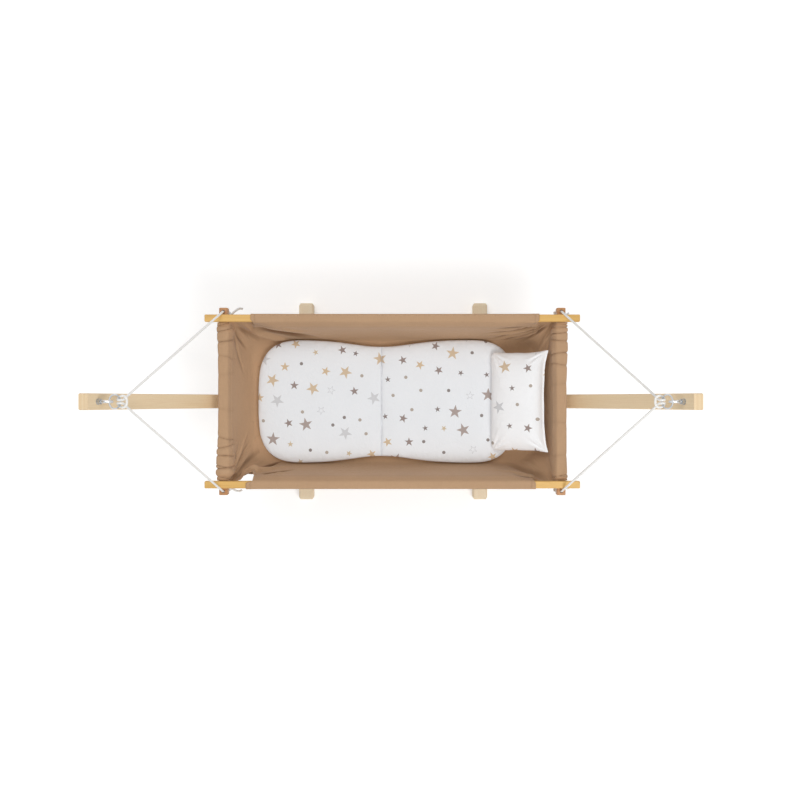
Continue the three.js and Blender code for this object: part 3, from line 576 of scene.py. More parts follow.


# The height of a fan of folds at a place measured from where they meet, and how much painted shade
# its creases put there, from 0 to 1: that painted shade is darkest on the slope just below a crease
def foldAt(fan, along, depth):
    distance = math.hypot(along, depth)
    angle = math.degrees(math.atan2(depth, along))
    push, crease = 0.0, 0.0
    for middle, width, height, start, peak, end in fan:
        if start < distance < end:
            wander = foldShape["wander"] * waver(distance, middle, end, foldShape["wanderSize"])
            aside = distance * math.radians(angle - middle - wander)
            rise = (distance - start) / (peak - start) if distance < peak else (end - distance) / (end - peak)
            push += height * bump(aside, width) * smooth(rise)
            if height < 0:
                shade = bump(aside - foldShape["shadeShift"] * width, foldShape["shadeWidth"] * width)
                shade *= smooth(-height / foldShape["fullShade"]) * smooth(foldShape["shadeRise"] * rise)
                crease = max(crease, shade)
    return push, crease


def rollHeight(name, along, around):  # and the painted shade from the creases between rolls there, from 0 to 1
    wander = rollShape["wander"] * waver(along, around, rolls[name]["seed"], rollShape["wanderSize"])
    rise = 1.0
    for middle, width, slant in rolls[name]["creases"]:
        fromCrease = along + wander - middle - slant * (around - rollShape["middle"])
        rise = min(rise, math.sqrt(abs(fromCrease) / width))
    height = between(rolls[name]["height"], along)[0]
    return height * rise, (1 - rise) ** 2 * smooth(height / rollShape["fullShade"])


slingLevels = [-0.985, -0.85, -0.7, -0.55, -0.42, -0.31, -0.22, -0.14, -0.07]
slingLevels += [(i / sling["wallRows"]) ** sling["rowEase"] for i in range(sling["wallRows"] + 1)]
slingRows = len(slingLevels)


def wallFold(column, level, point, fromCorner, beforeSeam):  # the push and the painted shade at a place of a wall
    depth = (1 - level) * sling["wallHeight"]
    onEnd = column["side"] in (1, 3)
    push, hollow = foldAt(folds[column["corner"]], fromCorner, depth)
    push *= smooth(level / foldShape["start"])
    if onEnd or beforeSeam:
        push *= smooth((1 - level) / foldShape["end"])
    if onEnd:
        rollPush, crease = rollHeight("left" if column["side"] == 1 else "right", point.y, 0.0)
        push += rollShape["onWall"] * rollPush * math.exp(-depth / rollShape["depth"])
        hollow = max(hollow, crease * math.exp(-depth / rollShape["shadeDepth"]))
    return push, hollow


def buildWalls():
    points, places, paintedShades, held, slack, pushes = [], [], [], [], [], []
    floorEdge, floorWaver = slingLevels.index(0.0), sling["floorWaver"]
    for column in slingColumnList:
        made = [slingPoint(column, level) for level in slingLevels]
        aside = Vector((math.cos(column["angle"]), math.sin(column["angle"])))
        climb = 0.0
        for j, (level, (point, fromCorner)) in enumerate(zip(slingLevels, made)):
            beforeSeam = abs(point.x) < freeEdges[column["corner"]]["seam"]
            if level > 0:
                climb += (point - made[j - 1][0]).length
                push, hollow = wallFold(column, level, point, fromCorner, beforeSeam)
                places.append(tuple(made[floorEdge][0].xy + aside * climb))
            else:
                push, hollow = floorWaver["height"] * waver(point.x, point.y, 3.1, floorWaver["size"]), 0.0
                places.append(tuple(point.xy))
            points.append(point)
            pushes.append(push)
            # painted shade in the creases of the folds and of the end sleeves' rolls
            paintedShades.append((hollow, 0.0))
            atRim = level == slingLevels[-1]
            sewn = atRim and (column["side"] in (1, 3) or (column["side"] is not None and beforeSeam))
            held.append(1.0 if level < sling["looseFrom"] or sewn else (sling["rimHold"] if atRim else 0.0))
            depth = (1 - max(level, 0)) * sling["wallHeight"]
            nearCorner = bump(math.hypot(fromCorner, depth), sling["slackReach"])
            loose = smooth((level - sling["looseFrom"]) / sling["looseOver"])
            slack.append(lerp(sling["slack"], 1.0, nearCorner) * loose)
    faces = gridFaces(len(slingColumnList), slingRows, closedRows=True)
    return meshPiece("sling_walls", points, faces, places), places, paintedShades, held, slack, pushes


slingColumnList = slingColumns()
wallPiece, wallPlaces, wallPaintedShades, slingHeld, slingSlack, slingPushes = buildWalls()
print("sling walls:", len(wallPiece.data.vertices), "points")
settle(wallPiece, slingHeld, slingSlack, frames=14, cap=0.005, gravity=0.3, stiffness=12, bending=0.3)
wallNormals = [vertex.normal.copy() for vertex in wallPiece.data.vertices]
for vertex, normal, push in zip(wallPiece.data.vertices, wallNormals, slingPushes):
    vertex.co += normal * push


sleeveShape = {
    "grow": 0.0012,  # from the rod to the middle of the cloth
    "quad": 0.0026,
    "roundings": 2,
    "insets": (0.0015, 0.004),  # of the loop's inner corners from the rod's, above and below
    "end": (0.002, -0.003),  # of the loop, from its start
    "seamReach": 0.019,  # how far round the rod the rim's own shape is followed
    "reliefStart": 0.008,
    "cutBack": 0.0275,  # how far round the rod the cloth ends with the wall, not with the sleeve
    "cutWidth": 0.006,
    "waver": 0.0006,
    "waverSize": 0.04,
    "waverReach": 0.12,
}
hem = {
    "width": 0.0115,
    "stitching": 0.003,
    "dent": 0.0005,
    # painted shade along the stitched dent of a hem
    "shade": 0.3,
    "tuck": 0.008,
    "tuckReach": 0.03,
    "tuckDepth": 0.018,
}


def loopSection(rod, seam):  # a loop round a square rod, from the seam over the top and back under it
    half = rod / 2 + sleeveShape["grow"]
    upper, lower = sleeveShape["insets"]
    x, z = rod / 2 + sling["wrap"] - seam, -sling["seamDrop"]
    corners = [
        (x, z), (upper - half, half), (half, half), (half, -half), (lower - half, -half),
        (x + sleeveShape["end"][0], z + sleeveShape["end"][1]),
    ]
    section = []
    for a, b in zip(corners, corners[1:]):
        count = max(2, round(math.dist(a, b) / sleeveShape["quad"]))
        section += [(lerp(a[0], b[0], i / count), lerp(a[1], b[1], i / count)) for i in range(count)]
    section.append(corners[-1])
    for _ in range(sleeveShape["roundings"]):
        rounded = [section[0]]
        for a, b, c in zip(section, section[1:], section[2:]):
            rounded.append(((a[0] + 2 * b[0] + c[0]) / 4, (a[1] + 2 * b[1] + c[1]) / 4))
        section = rounded + [section[-1]]
    return section


roundRail = {"rod": "railSize", "at": "railY", "top": "railTop", "seam": "sideSeam"}
roundBar = {"rod": "barSize", "at": "barX", "top": "barTop", "seam": "endSeam", "corners": None}
sleeves = [
    {"name": "back", "side": 0, "travel": (-1, 0), "corners": ((1, 1), (-1, 1)), **roundRail},
    {"name": "left", "side": 1, "travel": (0, -1), **roundBar},
    {"name": "front", "side": 2, "travel": (1, 0), "corners": ((-1, -1), (1, -1)), **roundRail},
    {"name": "right", "side": 3, "travel": (0, 1), **roundBar},
]


def sharedRim(sleeve, travel, outwards, points):  # the rim's points that the sleeve is sewn to, in order
    shared = []
    for i, column in enumerate(slingColumnList):
        index = i * slingRows + slingRows - 1
        place = points[index].dot(travel)
        limit = freeEdges[column["corner"]]["seam"] if sleeve["corners"] else sling["endSleeveLength"] / 2
        atCorner = column["side"] is None and not sleeve["corners"] and points[index].dot(outwards) > 0
        if abs(place) < limit and (column["side"] == sleeve["side"] or atCorner):
            shared.append((place, index))
    return sorted(shared)


# Places along the rod, with the index of the rim's point there or None beyond the wall, and how far
# the sleeve goes each way
def sleeveStations(sleeve, shared):
    if sleeve["corners"]:
        low, high = (freeEdges[corner]["sleeve"] for corner in sleeve["corners"])
    else:
        low = high = sling["endSleeveLength"] / 2
    first, last = shared[0][0], shared[-1][0]
    lead = spread(-low, first, max(2, round((first + low) / sling["step"]) + 1))[:-1]
    tail = spread(last, high, max(2, round((high - last) / sling["step"]) + 1))[1:]
    return [(place, None) for place in lead] + shared + [(place, None) for place in tail], low, high


def sleeveRelief(sleeve, place, fromEnd, distance):  # the push, the painted shade of creases and hems, and the tuck at a place round the rod
    crease, tuck = 0.0, 0.0
    if sleeve["corners"]:
        push = 0.5 + waver(place, distance, 1.7, sleeveShape["waverSize"])
        push *= sleeveShape["waver"] * smooth(1 - fromEnd / sleeveShape["waverReach"])
    else:
        push, crease = rollHeight(sleeve["name"], place * sleeve["travel"][1], distance)
        # inside the bar the cloth goes on under the rail
        tuck = smooth(1 - fromEnd / hem["tuckReach"]) * smooth(1.2 - distance / hem["tuckDepth"])
    # a hem's stitched line is dented and gets painted shade
    stitched = bump(fromEnd - hem["width"], hem["stitching"])
    push = (push - hem["dent"] * stitched) * smooth(distance / sleeveShape["reliefStart"])
    return push, max(crease, hem["shade"] * stitched), math.copysign(hem["tuck"], place) * tuck


def addSleeve(sleeve, points, places, paintedShades, faces):  # gives the sleeve's grid of points and its hems
    travel = Vector((*sleeve["travel"], 0))
    outwards = Vector((travel.y, -travel.x, 0))
    rod = frameSizes[sleeve["rod"]]
    axis = outwards * frameSizes[sleeve["at"]] + Vector((0, 0, frameSizes[sleeve["top"]] - rod / 2))
    section = loopSection(rod, sling[sleeve["seam"]])
    around = [0.0]
    for a, b in zip(section, section[1:]):
        around.append(around[-1] + math.dist(a, b))
    middle = Vector((sum(x for x, _ in section), sum(z for _, z in section))) / len(section)
    shared = sharedRim(sleeve, travel, outwards, points)
    stations, low, high = sleeveStations(sleeve, shared)
    grid = []
    for place, index in stations:
        nearest, rim = place, index
        if index is None:  # beyond the wall the loop keeps the way it had at the wall's last point
            nearest, rim = shared[0] if place < shared[0][0] else shared[-1]
        seam = axis + travel * nearest + outwards * section[0][0] + Vector((0, 0, section[0][1]))
        offset = points[rim] - seam
        flat = Vector(places[rim]) + travel.xy * (place - nearest)
        fromEnd = min(place + low, high - place)
        row = []
        for (x, z), distance in zip(section, around):
            if distance == 0.0 and index is not None:
                row.append(index)
                continue
            fromLast = around[-1] - distance
            push, crease, tuck = sleeveRelief(sleeve, place, fromEnd, distance)
            # beyond the wall, the cloth before the rod is cut back to the wall's end
            inside = min(distance, fromLast + sleeveShape["cutWidth"])
            cut = smooth((sleeveShape["cutBack"] - inside) / sleeveShape["cutWidth"])
            away = (Vector((x, z)) - middle).normalized() * push
            point = axis + travel * (lerp(place, nearest, cut) + tuck) + outwards * (x + away.x)
            point.z += z + away.y
            reach = sleeveShape["seamReach"]
            point += offset * max(smooth(1 - distance / reach), smooth(1 - fromLast / reach))
            row.append(len(points))
            points.append(point)
            places.append(tuple(flat + outwards.xy * distance))
            # painted shade in the creases between rolls and along the hems
            paintedShades.append((crease, 0.0))
        grid.append(row)
    for before, after in zip(grid, grid[1:]):
        for j in range(len(section) - 1):
            faces.append((before[j], before[j + 1], after[j + 1], after[j]))
    hems = [
        min(range(len(stations)), key=lambda k: abs(stations[k][0] + low - hem["width"])),
        min(range(len(stations)), key=lambda k: abs(high - stations[k][0] - hem["width"])),
    ]
    return grid, hems


softening = {"reach": 8, "passes": 12}


def softenSeam(grid, points):  # rounds the line where a sleeve runs on into its wall
    wallCount = len(slingColumnList) * slingRows
    for row in grid:
        if row[0] < wallCount:
            reach = softening["reach"]
            line = [row[0] - k for k in range(reach, 0, -1)] + row[:reach]
            for _ in range(softening["passes"]):
                old = [points[index].copy() for index in line]
                for a, b, c, index in zip(old, old[1:], old[2:], line[1:]):
                    points[index] = (a + b * 2 + c) / 4


def buildSling():
    points = [vertex.co.copy() for vertex in wallPiece.data.vertices]
    places, paintedShades = list(wallPlaces), list(wallPaintedShades)
    faces = gridFaces(len(slingColumnList), slingRows, closedRows=True)
    grids = [addSleeve(sleeve, points, places, paintedShades, faces) for sleeve in sleeves]
    for grid, _ in grids:
        softenSeam(grid, points)
    # the middle of the floor closes the innermost ring
    count = len(slingColumnList)
    faces += [(i * slingRows, (i + 1) % count * slingRows, len(points)) for i in range(count)]
    points.append(sum((points[i * slingRows] for i in range(count)), Vector()) / count)
    places.append((0.0, 0.0))
    paintedShades.append((0.0, 0.0))
    bpy.data.objects.remove(wallPiece)
    return meshPiece("sling_cloth", points, faces, places, paintedShades), grids


slingPiece, sleeveGrids = buildSling()
slingArea = sum(face.area for face in slingPiece.data.polygons)
print(f"sling sheet: {slingArea:.3f} square metres, {len(slingPiece.data.vertices)} points")


# Stitches: rows of short threads that rise out of the cloth, along the seams and hems

stitch = {
    "pitch": 0.0042,
    "length": 0.0030,
    "radius": 0.00032,
    "rise": 0.0005,
    "sunk": 0.0001,
    "sides": 5,
    "steps": 4,
    "fromSeam": 2,  # of the points round a sleeve
}


def stitchRow(line, lift, points, faces):  # along a line of points with their normals
    lengths = [0.0]
    for (a, _), (b, _) in zip(line, line[1:]):
        lengths.append(lengths[-1] + (b - a).length)
    start = stitch["pitch"]
    k = 0

    def at(distance, k):
        while k < len(line) - 2 and lengths[k + 1] < distance:
            k += 1
        share = (distance - lengths[k]) / max(lengths[k + 1] - lengths[k], 1e-9)
        return line[k][0].lerp(line[k + 1][0], share), line[k][1].lerp(line[k + 1][1], share).normalized(), k

    while start + stitch["length"] < lengths[-1] - stitch["pitch"]:
        rings = []
        for share in spread(0, 1, stitch["steps"] + 1):
            place, normal, k = at(start + stitch["length"] * share, k)
            rings.append((place + normal * (lift + stitch["rise"] * math.sin(math.pi * share)), normal))
        along = (rings[-1][0] - rings[0][0]).normalized()
        first = len(points)
        for place, normal in rings:
            aside = along.cross(normal).normalized()
            for j in range(stitch["sides"]):
                angle = 2 * math.pi * j / stitch["sides"]
                points.append(place + (aside * math.cos(angle) + normal * math.sin(angle)) * stitch["radius"])
        for row in gridFaces(len(rings), stitch["sides"], closedColumns=True):
            faces.append(tuple(first + corner for corner in row))
        start += stitch["pitch"]


def buildStitches():
    points, faces = [], []
    mesh = slingPiece.data
    lift = sling["thickness"] / 2 - stitch["sunk"]

    def line(indices):
        return [(mesh.vertices[index].co.copy(), mesh.vertices[index].normal.copy()) for index in indices]

    for grid, hems in sleeveGrids:
        stitchRow(line([row[stitch["fromSeam"]] for row in grid]), lift, points, faces)
        for station in hems:
            stitchRow(line(grid[station][1:-2]), lift, points, faces)
    return meshPiece("sling_stitches", points, faces)


stitchPiece = buildStitches()
thick = slingPiece.modifiers.new("thickness", "SOLIDIFY")
thick.thickness = sling["thickness"]
thick.offset = 0
print("stitches:", len(stitchPiece.data.vertices), "points")


# Cushions

def cushionGrid(name, alongSteps, acrossSteps, place, top, bottom):
    points, places, index = [], [], {}

    def onRim(i, j):
        return i in (0, len(alongSteps) - 1) or j in (0, len(acrossSteps) - 1)

    def add(i, j, upper):
        s, t = alongSteps[i], acrossSteps[j]
        key = (i, j, upper and not onRim(i, j))
        if key not in index:
            index[key] = len(points)
            x, y = place(s, t)
            points.append(Vector((x, y, top(s, t) if upper else bottom(s, t))))
            places.append((x, y))
        return index[key]

    faces = []
    for i in range(len(alongSteps) - 1):
        for j in range(len(acrossSteps) - 1):
            ring = [(i, j), (i + 1, j), (i + 1, j + 1), (i, j + 1)]
            faces.append(tuple(add(*corner, True) for corner in ring))
            faces.append(tuple(add(*corner, False) for corner in (ring[0], ring[3], ring[2], ring[1])))
    piece = meshPiece(name, points, [f for f in faces if len(set(f)) == 4], places)
    rims = {k for (i, j, _), k in index.items() if onRim(i, j)}
    uppers = {k for (_, _, upper), k in index.items() if upper}
    return piece, rims, uppers


mattress = {
    "length": 0.750,
    "width": 0.360,
    "thickness": 0.028,
    "headEnd": 0.357,
    "endRound": 0.150,
    "endFullness": 3.2,
    "waistWidth": 0.320,
    "waistLength": 0.120,
    "waistShift": 0.014,
    "edgeShare": 0.42,  # of the thickness, below the edge
    "seamDepth": 0.0078,
    "pinchDepth": 0.00585,  # at a pinch of height 1
    "seamWidth": 0.0036,
    "seamHold": 0.012,
    "seamSteps": (0.0012, 0.0028, 0.005, 0.009, 0.014),  # of the mesh, to both sides of the seam
    "seamRoom": 0.018,
    "besideSeam": {"depth": 0.0035, "width": 0.022},
    "quads": {"along": (0.006, 0.35), "across": (0.0045, 0.5)},  # how long, and how much finer at the ends
    "bottomZ": sling["floorZ"] + sling["partThickness"] / 2 + frameSizes["seatGap"],
    # they run in from the edge: from the sides, but from the ends within the given reach
    "puckers": {"height": 0.0036, "reach": 0.014, "size": 0.010, "stretch": 2.5, "endReach": 0.06},
    # where along the cross seam it is pinched most, how far that reaches, and how much deeper
    "pinches": [(0.118, 0.030, 0.9), (-0.128, 0.022, 0.5)],
    "gathers": {"height": 0.0011, "pitch": 0.0032, "reach": 0.026, "start": 0.004},
    "flatRim": 0.008,
}


def mixedSteps(length, quad, share):  # from -1 to 1, finer towards the ends by the given share
    count = round(length / quad)
    return [
        lerp(even, math.sin((i / count - 0.5) * math.pi), share)
        for i, even in enumerate(spread(-1, 1, count + 1))
    ]


def pinch(y):
    return max(height * bump(y - middle, reach) for middle, reach, height in mattress["pinches"])


def buildMattress():
    half = mattress["length"] / 2
    edge = mattress["edgeShare"] * mattress["thickness"]
    puckers, beside, gathers = mattress["puckers"], mattress["besideSeam"], mattress["gathers"]
    fullness = mattress["endFullness"]

    def outline(x):
        waist = math.exp(-(((x + mattress["waistShift"]) / mattress["waistLength"]) ** 2))
        share = max(abs(x) - half + mattress["endRound"], 0) / mattress["endRound"]
        width = lerp(mattress["width"], mattress["waistWidth"], waist)
        return width / 2 * max(1 - share ** fullness, 0) ** (1 / fullness)

    def place(s, t):
        return s * half, t * outline(s * half)

    def crown(s, t, sharpness):
        return math.sqrt((1 - abs(s) ** (3 * sharpness)) * (1 - abs(t) ** sharpness))

    def top(s, t):
        x, y = place(s, t)
        fromSeam = abs(x + mattress["waistShift"])
        deeper = pinch(y)
        groove = mattress["seamDepth"] + mattress["pinchDepth"] * deeper
        groove *= math.exp(-fromSeam / mattress["seamWidth"])
        groove += beside["depth"] * math.exp(-((fromSeam / beside["width"]) ** 2))
        fan = gathers["height"] * deeper * math.sin(y / gathers["pitch"])
        fan *= bump(fromSeam, gathers["reach"]) * smooth(fromSeam / gathers["start"])
        rim = min((1 - abs(s)) * half, (1 - abs(t)) * outline(x))
        onSide = smooth((1 - abs(s)) * half / puckers["endReach"])
        size, longer = puckers["size"], puckers["stretch"]
        ruffle = lerp(waver(x / longer, y, 2.0, size), waver(x, y / longer, 5.0, size), onSide)
        relief = fan + puckers["height"] * ruffle * math.exp(-rim / puckers["reach"])
        height = edge + (mattress["thickness"] - edge - groove) * crown(s, t, 5)
        return height + relief * smooth(rim / mattress["flatRim"])

    def bottom(s, t):
        return edge * (1 - crown(s, t, 14))

    seamAt = -mattress["waistShift"]
    finer = [seamAt + side * away for side in (-1, 1) for away in mattress["seamSteps"]]
    plain = mixedSteps(mattress["length"], *mattress["quads"]["along"])
    plain = [s for s in plain if abs(s * half - seamAt) > mattress["seamRoom"]]
    along = sorted([*plain, seamAt / half, *[x / half for x in finer]])
    across = mixedSteps(mattress["width"], *mattress["quads"]["across"])
    return cushionGrid("mattress_cushion", along, across, place, top, bottom)


mattressPiece, mattressRims, mattressUppers = buildMattress()
held, slack = [], []
for i, vertex in enumerate(mattressPiece.data.vertices):
    nearSeam = bump(vertex.co.x + mattress["waistShift"], mattress["seamHold"])
    below = i not in mattressUppers and i not in mattressRims
    held.append(1.0 if i in mattressRims or below else nearSeam)
    slack.append(0.3)
settle(mattressPiece, held, slack, frames=12, cap=0.003, pressure=1.0, stiffness=10, bending=0.3)
mattressPiece.data.transform(Matrix.Translation((
    mattress["headEnd"] - mattress["length"] / 2, 0, mattress["bottomZ"],
)))

pillow = {
    "length": 0.174,
    "width": 0.300,
    "crown": 0.032,
    "belly": 0.014,
    "sideDraw": 0.010,
    "headDraw": 0.016,
    "footDraw": 0.004,
    "waver": {"headAndFoot": 0.0016, "sides": 0.0020},
    "blunt": 0.04,
    "footCorners": (0.06, 0.045),  # how far they are turned in, along and across
    "filling": 0.6,  # lower is fuller
    "flatRim": 0.008,
    "tilt": math.radians(21),
    "headEnd": 0.4447,
    "rise": 0.0342,
    "flange": 0.008,
    "flangeHold": {"share": 0.9, "bow": 0.3, "width": 0.006},  # as it settles
    "quads": (0.0042, 0.3),
    "edge": 0.0016,
    "puckers": {"height": 0.0014, "reach": 0.020, "size": 0.013},
    "cornerFolds": [  # as those of the sling, from each corner
        (20, 0.0045, 0.0026, 0.008, 0.032, 0.085), (42, 0.0045, 0.0034, 0.006, 0.030, 0.080),
        (66, 0.0045, 0.0026, 0.008, 0.032, 0.085), (31, 0.0035, -0.0030, 0.010, 0.034, 0.080),
        (54, 0.0035, -0.0028, 0.010, 0.034, 0.075),
    ],
}


def buildPillow():
    halfLength, halfWidth = pillow["length"] / 2, pillow["width"] / 2
    puckers = pillow["puckers"]

    def place(s, t):
        draw = pillow["headDraw"] if s > 0 else pillow["footDraw"]
        x = s * (halfLength - draw * (1 - t ** 4))
        y = t * (halfWidth - pillow["sideDraw"] * (1 - s ** 4))
        x += pillow["waver"]["headAndFoot"] * waver(0.0, t, 1.0 + s, 0.35) * abs(s) ** 3
        y += pillow["waver"]["sides"] * waver(s, 0.0, 4.0 + t, 0.45) * abs(t) ** 3
        blunt = 1 - pillow["blunt"] * abs(s * t) ** 14
        x, y = x * blunt, y * blunt
        if s < 0:
            x *= 1 - pillow["footCorners"][0] * abs(t) ** 8
            y *= 1 - pillow["footCorners"][1] * (-s) ** 6
        return x, y

    def filled(s, t):
        flange = 1 - pillow["flange"] / halfLength
        inner = s / flange if s > 0 else s
        return (max(1 - inner ** 4, 0) * (1 - t ** 4)) ** pillow["filling"]

    def wrinkles(s, t):
        x, y = place(s, t)
        along, depth = (1 - abs(s)) * halfLength, (1 - abs(t)) * halfWidth
        rim = min(along, depth)
        gather = puckers["height"] * waver(x, y, 4.0, puckers["size"]) * math.exp(-rim / puckers["reach"])
        return (foldAt(pillow["cornerFolds"], along, depth)[0] + gather) * smooth(rim / pillow["flatRim"])

    along = mixedSteps(pillow["length"], *pillow["quads"])
    across = mixedSteps(pillow["width"], *pillow["quads"])
    return cushionGrid(
        "pillow_cushion", along, across, place,
        lambda s, t: pillow["edge"] / 2 + pillow["crown"] * filled(s, t) + wrinkles(s, t),
        lambda s, t: -pillow["edge"] / 2 - pillow["belly"] * filled(s, t),
    )


pillowPiece, pillowRims, _ = buildPillow()
flangeStart = pillow["length"] / 2 - pillow["flange"] - pillow["headDraw"]
hold = pillow["flangeHold"]
held, slack = [], []
for i, vertex in enumerate(pillowPiece.data.vertices):
    onFlange = smooth((vertex.co.x - flangeStart - hold["bow"] * vertex.co.y ** 2) / hold["width"])
    held.append(1.0 if i in pillowRims else hold["share"] * onFlange)
    slack.append(0.5)
settle(pillowPiece, held, slack, frames=14, cap=0.004, pressure=2.5, stiffness=10, bending=0.25)
pillowPiece.data.transform(
    Matrix.Translation((
        pillow["headEnd"] - pillow["length"] / 2 * math.cos(pillow["tilt"]),
        0,
        mattress["bottomZ"] + mattress["thickness"] + pillow["rise"],
    )) @ Matrix.Rotation(-pillow["tilt"], 4, "Y"),
)
print("cushions made")


# Shader helpers. A Wire is what a node's socket gives, and can be reckoned with as a number can.

class Wire:
    def __init__(self, tree, socket):
        self.tree, self.socket = tree, socket

    def __add__(self, other):
        return calc("ADD", self, other)

    def __sub__(self, other):
        return calc("SUBTRACT", self, other)

    def __rsub__(self, other):
        return calc("SUBTRACT", other, self)

    def __mul__(self, other):
        return calc("MULTIPLY", self, other)

    def __rmul__(self, other):
        return calc("MULTIPLY", other, self)

    def __truediv__(self, other):
        return calc("DIVIDE", self, other)

    def __rtruediv__(self, other):
        return calc("DIVIDE", other, self)

    def __gt__(self, other):
        return calc("GREATER_THAN", self, other)

    def __lt__(self, other):
        return calc("LESS_THAN", self, other)

    def __abs__(self):
        return calc("ABSOLUTE", self)

    def __floor__(self):
        return calc("FLOOR", self)


def plug(node, values):  # values are wires or constants, by the name or index of the socket
    for name, value in values.items():
        if isinstance(value, Wire):
            value.tree.links.new(value.socket, node.inputs[name])
        else:
            node.inputs[name].default_value = value


def shader(tree, kind, values=None, **settings):  # adds a node, and gives its outputs by name
    node = tree.nodes.new(kind)
    for name, value in settings.items():
        setattr(node, name, value)
    plug(node, values or {})
    return {socket.name: Wire(tree, socket) for socket in node.outputs}


def treeOf(values):
    return next(value.tree for value in values if isinstance(value, Wire))


def calc(operation, *values):
    return shader(treeOf(values), "ShaderNodeMath", dict(enumerate(values)), operation=operation)["Value"]


def vectorCalc(operation, *values):
    made = shader(treeOf(values), "ShaderNodeVectorMath", dict(enumerate(values)), operation=operation)
    return made["Value" if operation in ("LENGTH", "DOT_PRODUCT") else "Vector"]


def ramp(value, low, high):  # 0 at low and 1 at high, which may be the lower one
    return shader(
        value.tree, "ShaderNodeMapRange", {"Value": value, "From Min": low, "From Max": high},
        interpolation_type="SMOOTHSTEP",
    )["Result"]


def mixColour(share, a, b, blend="MIX"):
    tree = treeOf((share, a, b))
    node = tree.nodes.new("ShaderNodeMix")
    node.data_type = "RGBA"
    node.blend_type = blend
    first, second = (i for i, socket in enumerate(node.inputs) if socket.type == "RGBA")
    plug(node, {"Factor": share, first: a, second: b})
    return Wire(tree, next(socket for socket in node.outputs if socket.type == "RGBA"))


def split(vector):
    parts = shader(vector.tree, "ShaderNodeSeparateXYZ", {"Vector": vector})
    return parts["X"], parts["Y"], parts["Z"]


def combine(x, y, z=0.0):
    return shader(treeOf((x, y, z)), "ShaderNodeCombineXYZ", {"X": x, "Y": y, "Z": z})["Vector"]


def noiseAt(place, size, detail=2.0, roughness=0.5, distortion=0.0):  # size is one length or three
    sizes = size if isinstance(size, tuple) else (size, size, size)
    return shader(place.tree, "ShaderNodeTexNoise", {
        "Vector": vectorCalc("DIVIDE", place, sizes), "Scale": 1.0,
        "Detail": detail, "Roughness": roughness, "Distortion": distortion,
    })["Fac"]


def bumpNormal(height, strength, distance, under=None):  # may lie over another bump's normal
    values = {"Height": height, "Strength": strength, "Distance": distance}
    if under:
        values["Normal"] = under
    return shader(height.tree, "ShaderNodeBump", values)["Normal"]


def objectPlace(tree):
    return shader(tree, "ShaderNodeTexCoord")["Object"]


def meshPlace(tree, layer="place"):
    return shader(tree, "ShaderNodeUVMap", uv_map=layer)["UV"]


def tinted(colour, *factors):  # a colour times one factor, or one for each channel
    channels = (channel * factors[i % len(factors)] for i, channel in enumerate(colour[:3]))
    return (*(min(channel, 1.0) for channel in channels), 1.0)


def newGroup(name, inputs, outputs):  # inputs and outputs give each socket's kind by its name
    tree = bpy.data.node_groups.new(name, "ShaderNodeTree")
    for sockets, direction in ((inputs, "INPUT"), (outputs, "OUTPUT")):
        for label, kind in sockets.items():
            tree.interface.new_socket(label, in_out=direction, socket_type=f"NodeSocket{kind}")
    return tree, shader(tree, "NodeGroupInput"), tree.nodes.new("NodeGroupOutput")


def useGroup(group, values):
    return shader(treeOf(values.values()), "ShaderNodeGroup", values, node_tree=group)


def newMaterial(name, values):
    material = bpy.data.materials.new(name)
    material.use_nodes = True
    principled = material.node_tree.nodes["Principled BSDF"]
    plug(principled, values)
    return material, material.node_tree, principled


# Shared effects

def woodGrainGroup():  # X of Place runs along the grain; lengths are in metres
    tree, given, result = newGroup(
        "wood grain",
        {"Place": "Vector", "Light": "Color", "Dark": "Color", "Figure": "Float", "Flecks": "Float"},
        {"Colour": "Color", "Height": "Float", "Roughness": "Float"},
    )
    place, dark = given["Place"], given["Dark"]
    rings = calc("SINE", noiseAt(place, (0.42, 0.014, 0.014), 2, 0.5, 0.4) * 42.0) * 0.5 + 0.5
    fibre = noiseAt(place, (0.045, 0.0009, 0.0009), 3, 0.65)
    tone = noiseAt(place, (0.6, 0.05, 0.05), 1)
    flecks = ramp(noiseAt(place, (0.0045, 0.00055, 0.00055), 1), 0.62, 0.7)
    figure = rings * given["Figure"] + (fibre - 0.5) * 0.7 + (tone - 0.5) * 0.6
    fleckColour = mixColour(1.0, dark, (0.72, 0.66, 0.6, 1), "MULTIPLY")
    plug(result, {
        "Colour": mixColour(flecks * given["Flecks"], mixColour(figure, given["Light"], dark), fleckColour),
        "Height": fibre - flecks * 0.6,
        "Roughness": fibre * 0.18 + 0.34,
    })
    return tree


def bowPlaceGroup():  # Place runs along, across and through the bow, and Depth through it alone
    tree, given, result = newGroup(
        "bow place", {"Place": "Vector"}, {"Bent Place": "Vector", "Depth": "Float"},
    )
    x, y, z = split(given["Place"])
    reach = abs(x)

    def polar(centreX, centreZ):
        across, below = reach - centreX, centreZ - z
        return calc("SQRT", across * across + below * below), calc("ARCTAN2", across, below)

    lowRadius, lowAngle = polar(0.0, bow["centreZ"])
    armRadius, armAngle = polar(*bow["armCentre"])
    onArm = lowAngle > bow["bottomSweep"]

    def chosen(low, arm):
        return (arm - low) * onArm + low

    depth = chosen(lowRadius - bow["bottomRadius"], armRadius - bow["armRadius"])
    along = chosen(
        lowAngle * bow["bottomRadius"],
        armAngle * bow["armRadius"] - bow["bottomSweep"] * bow["armShift"],
    )
    plug(result, {"Bent Place": combine(along * calc("SIGN", x), y, depth), "Depth": depth})
    return tree


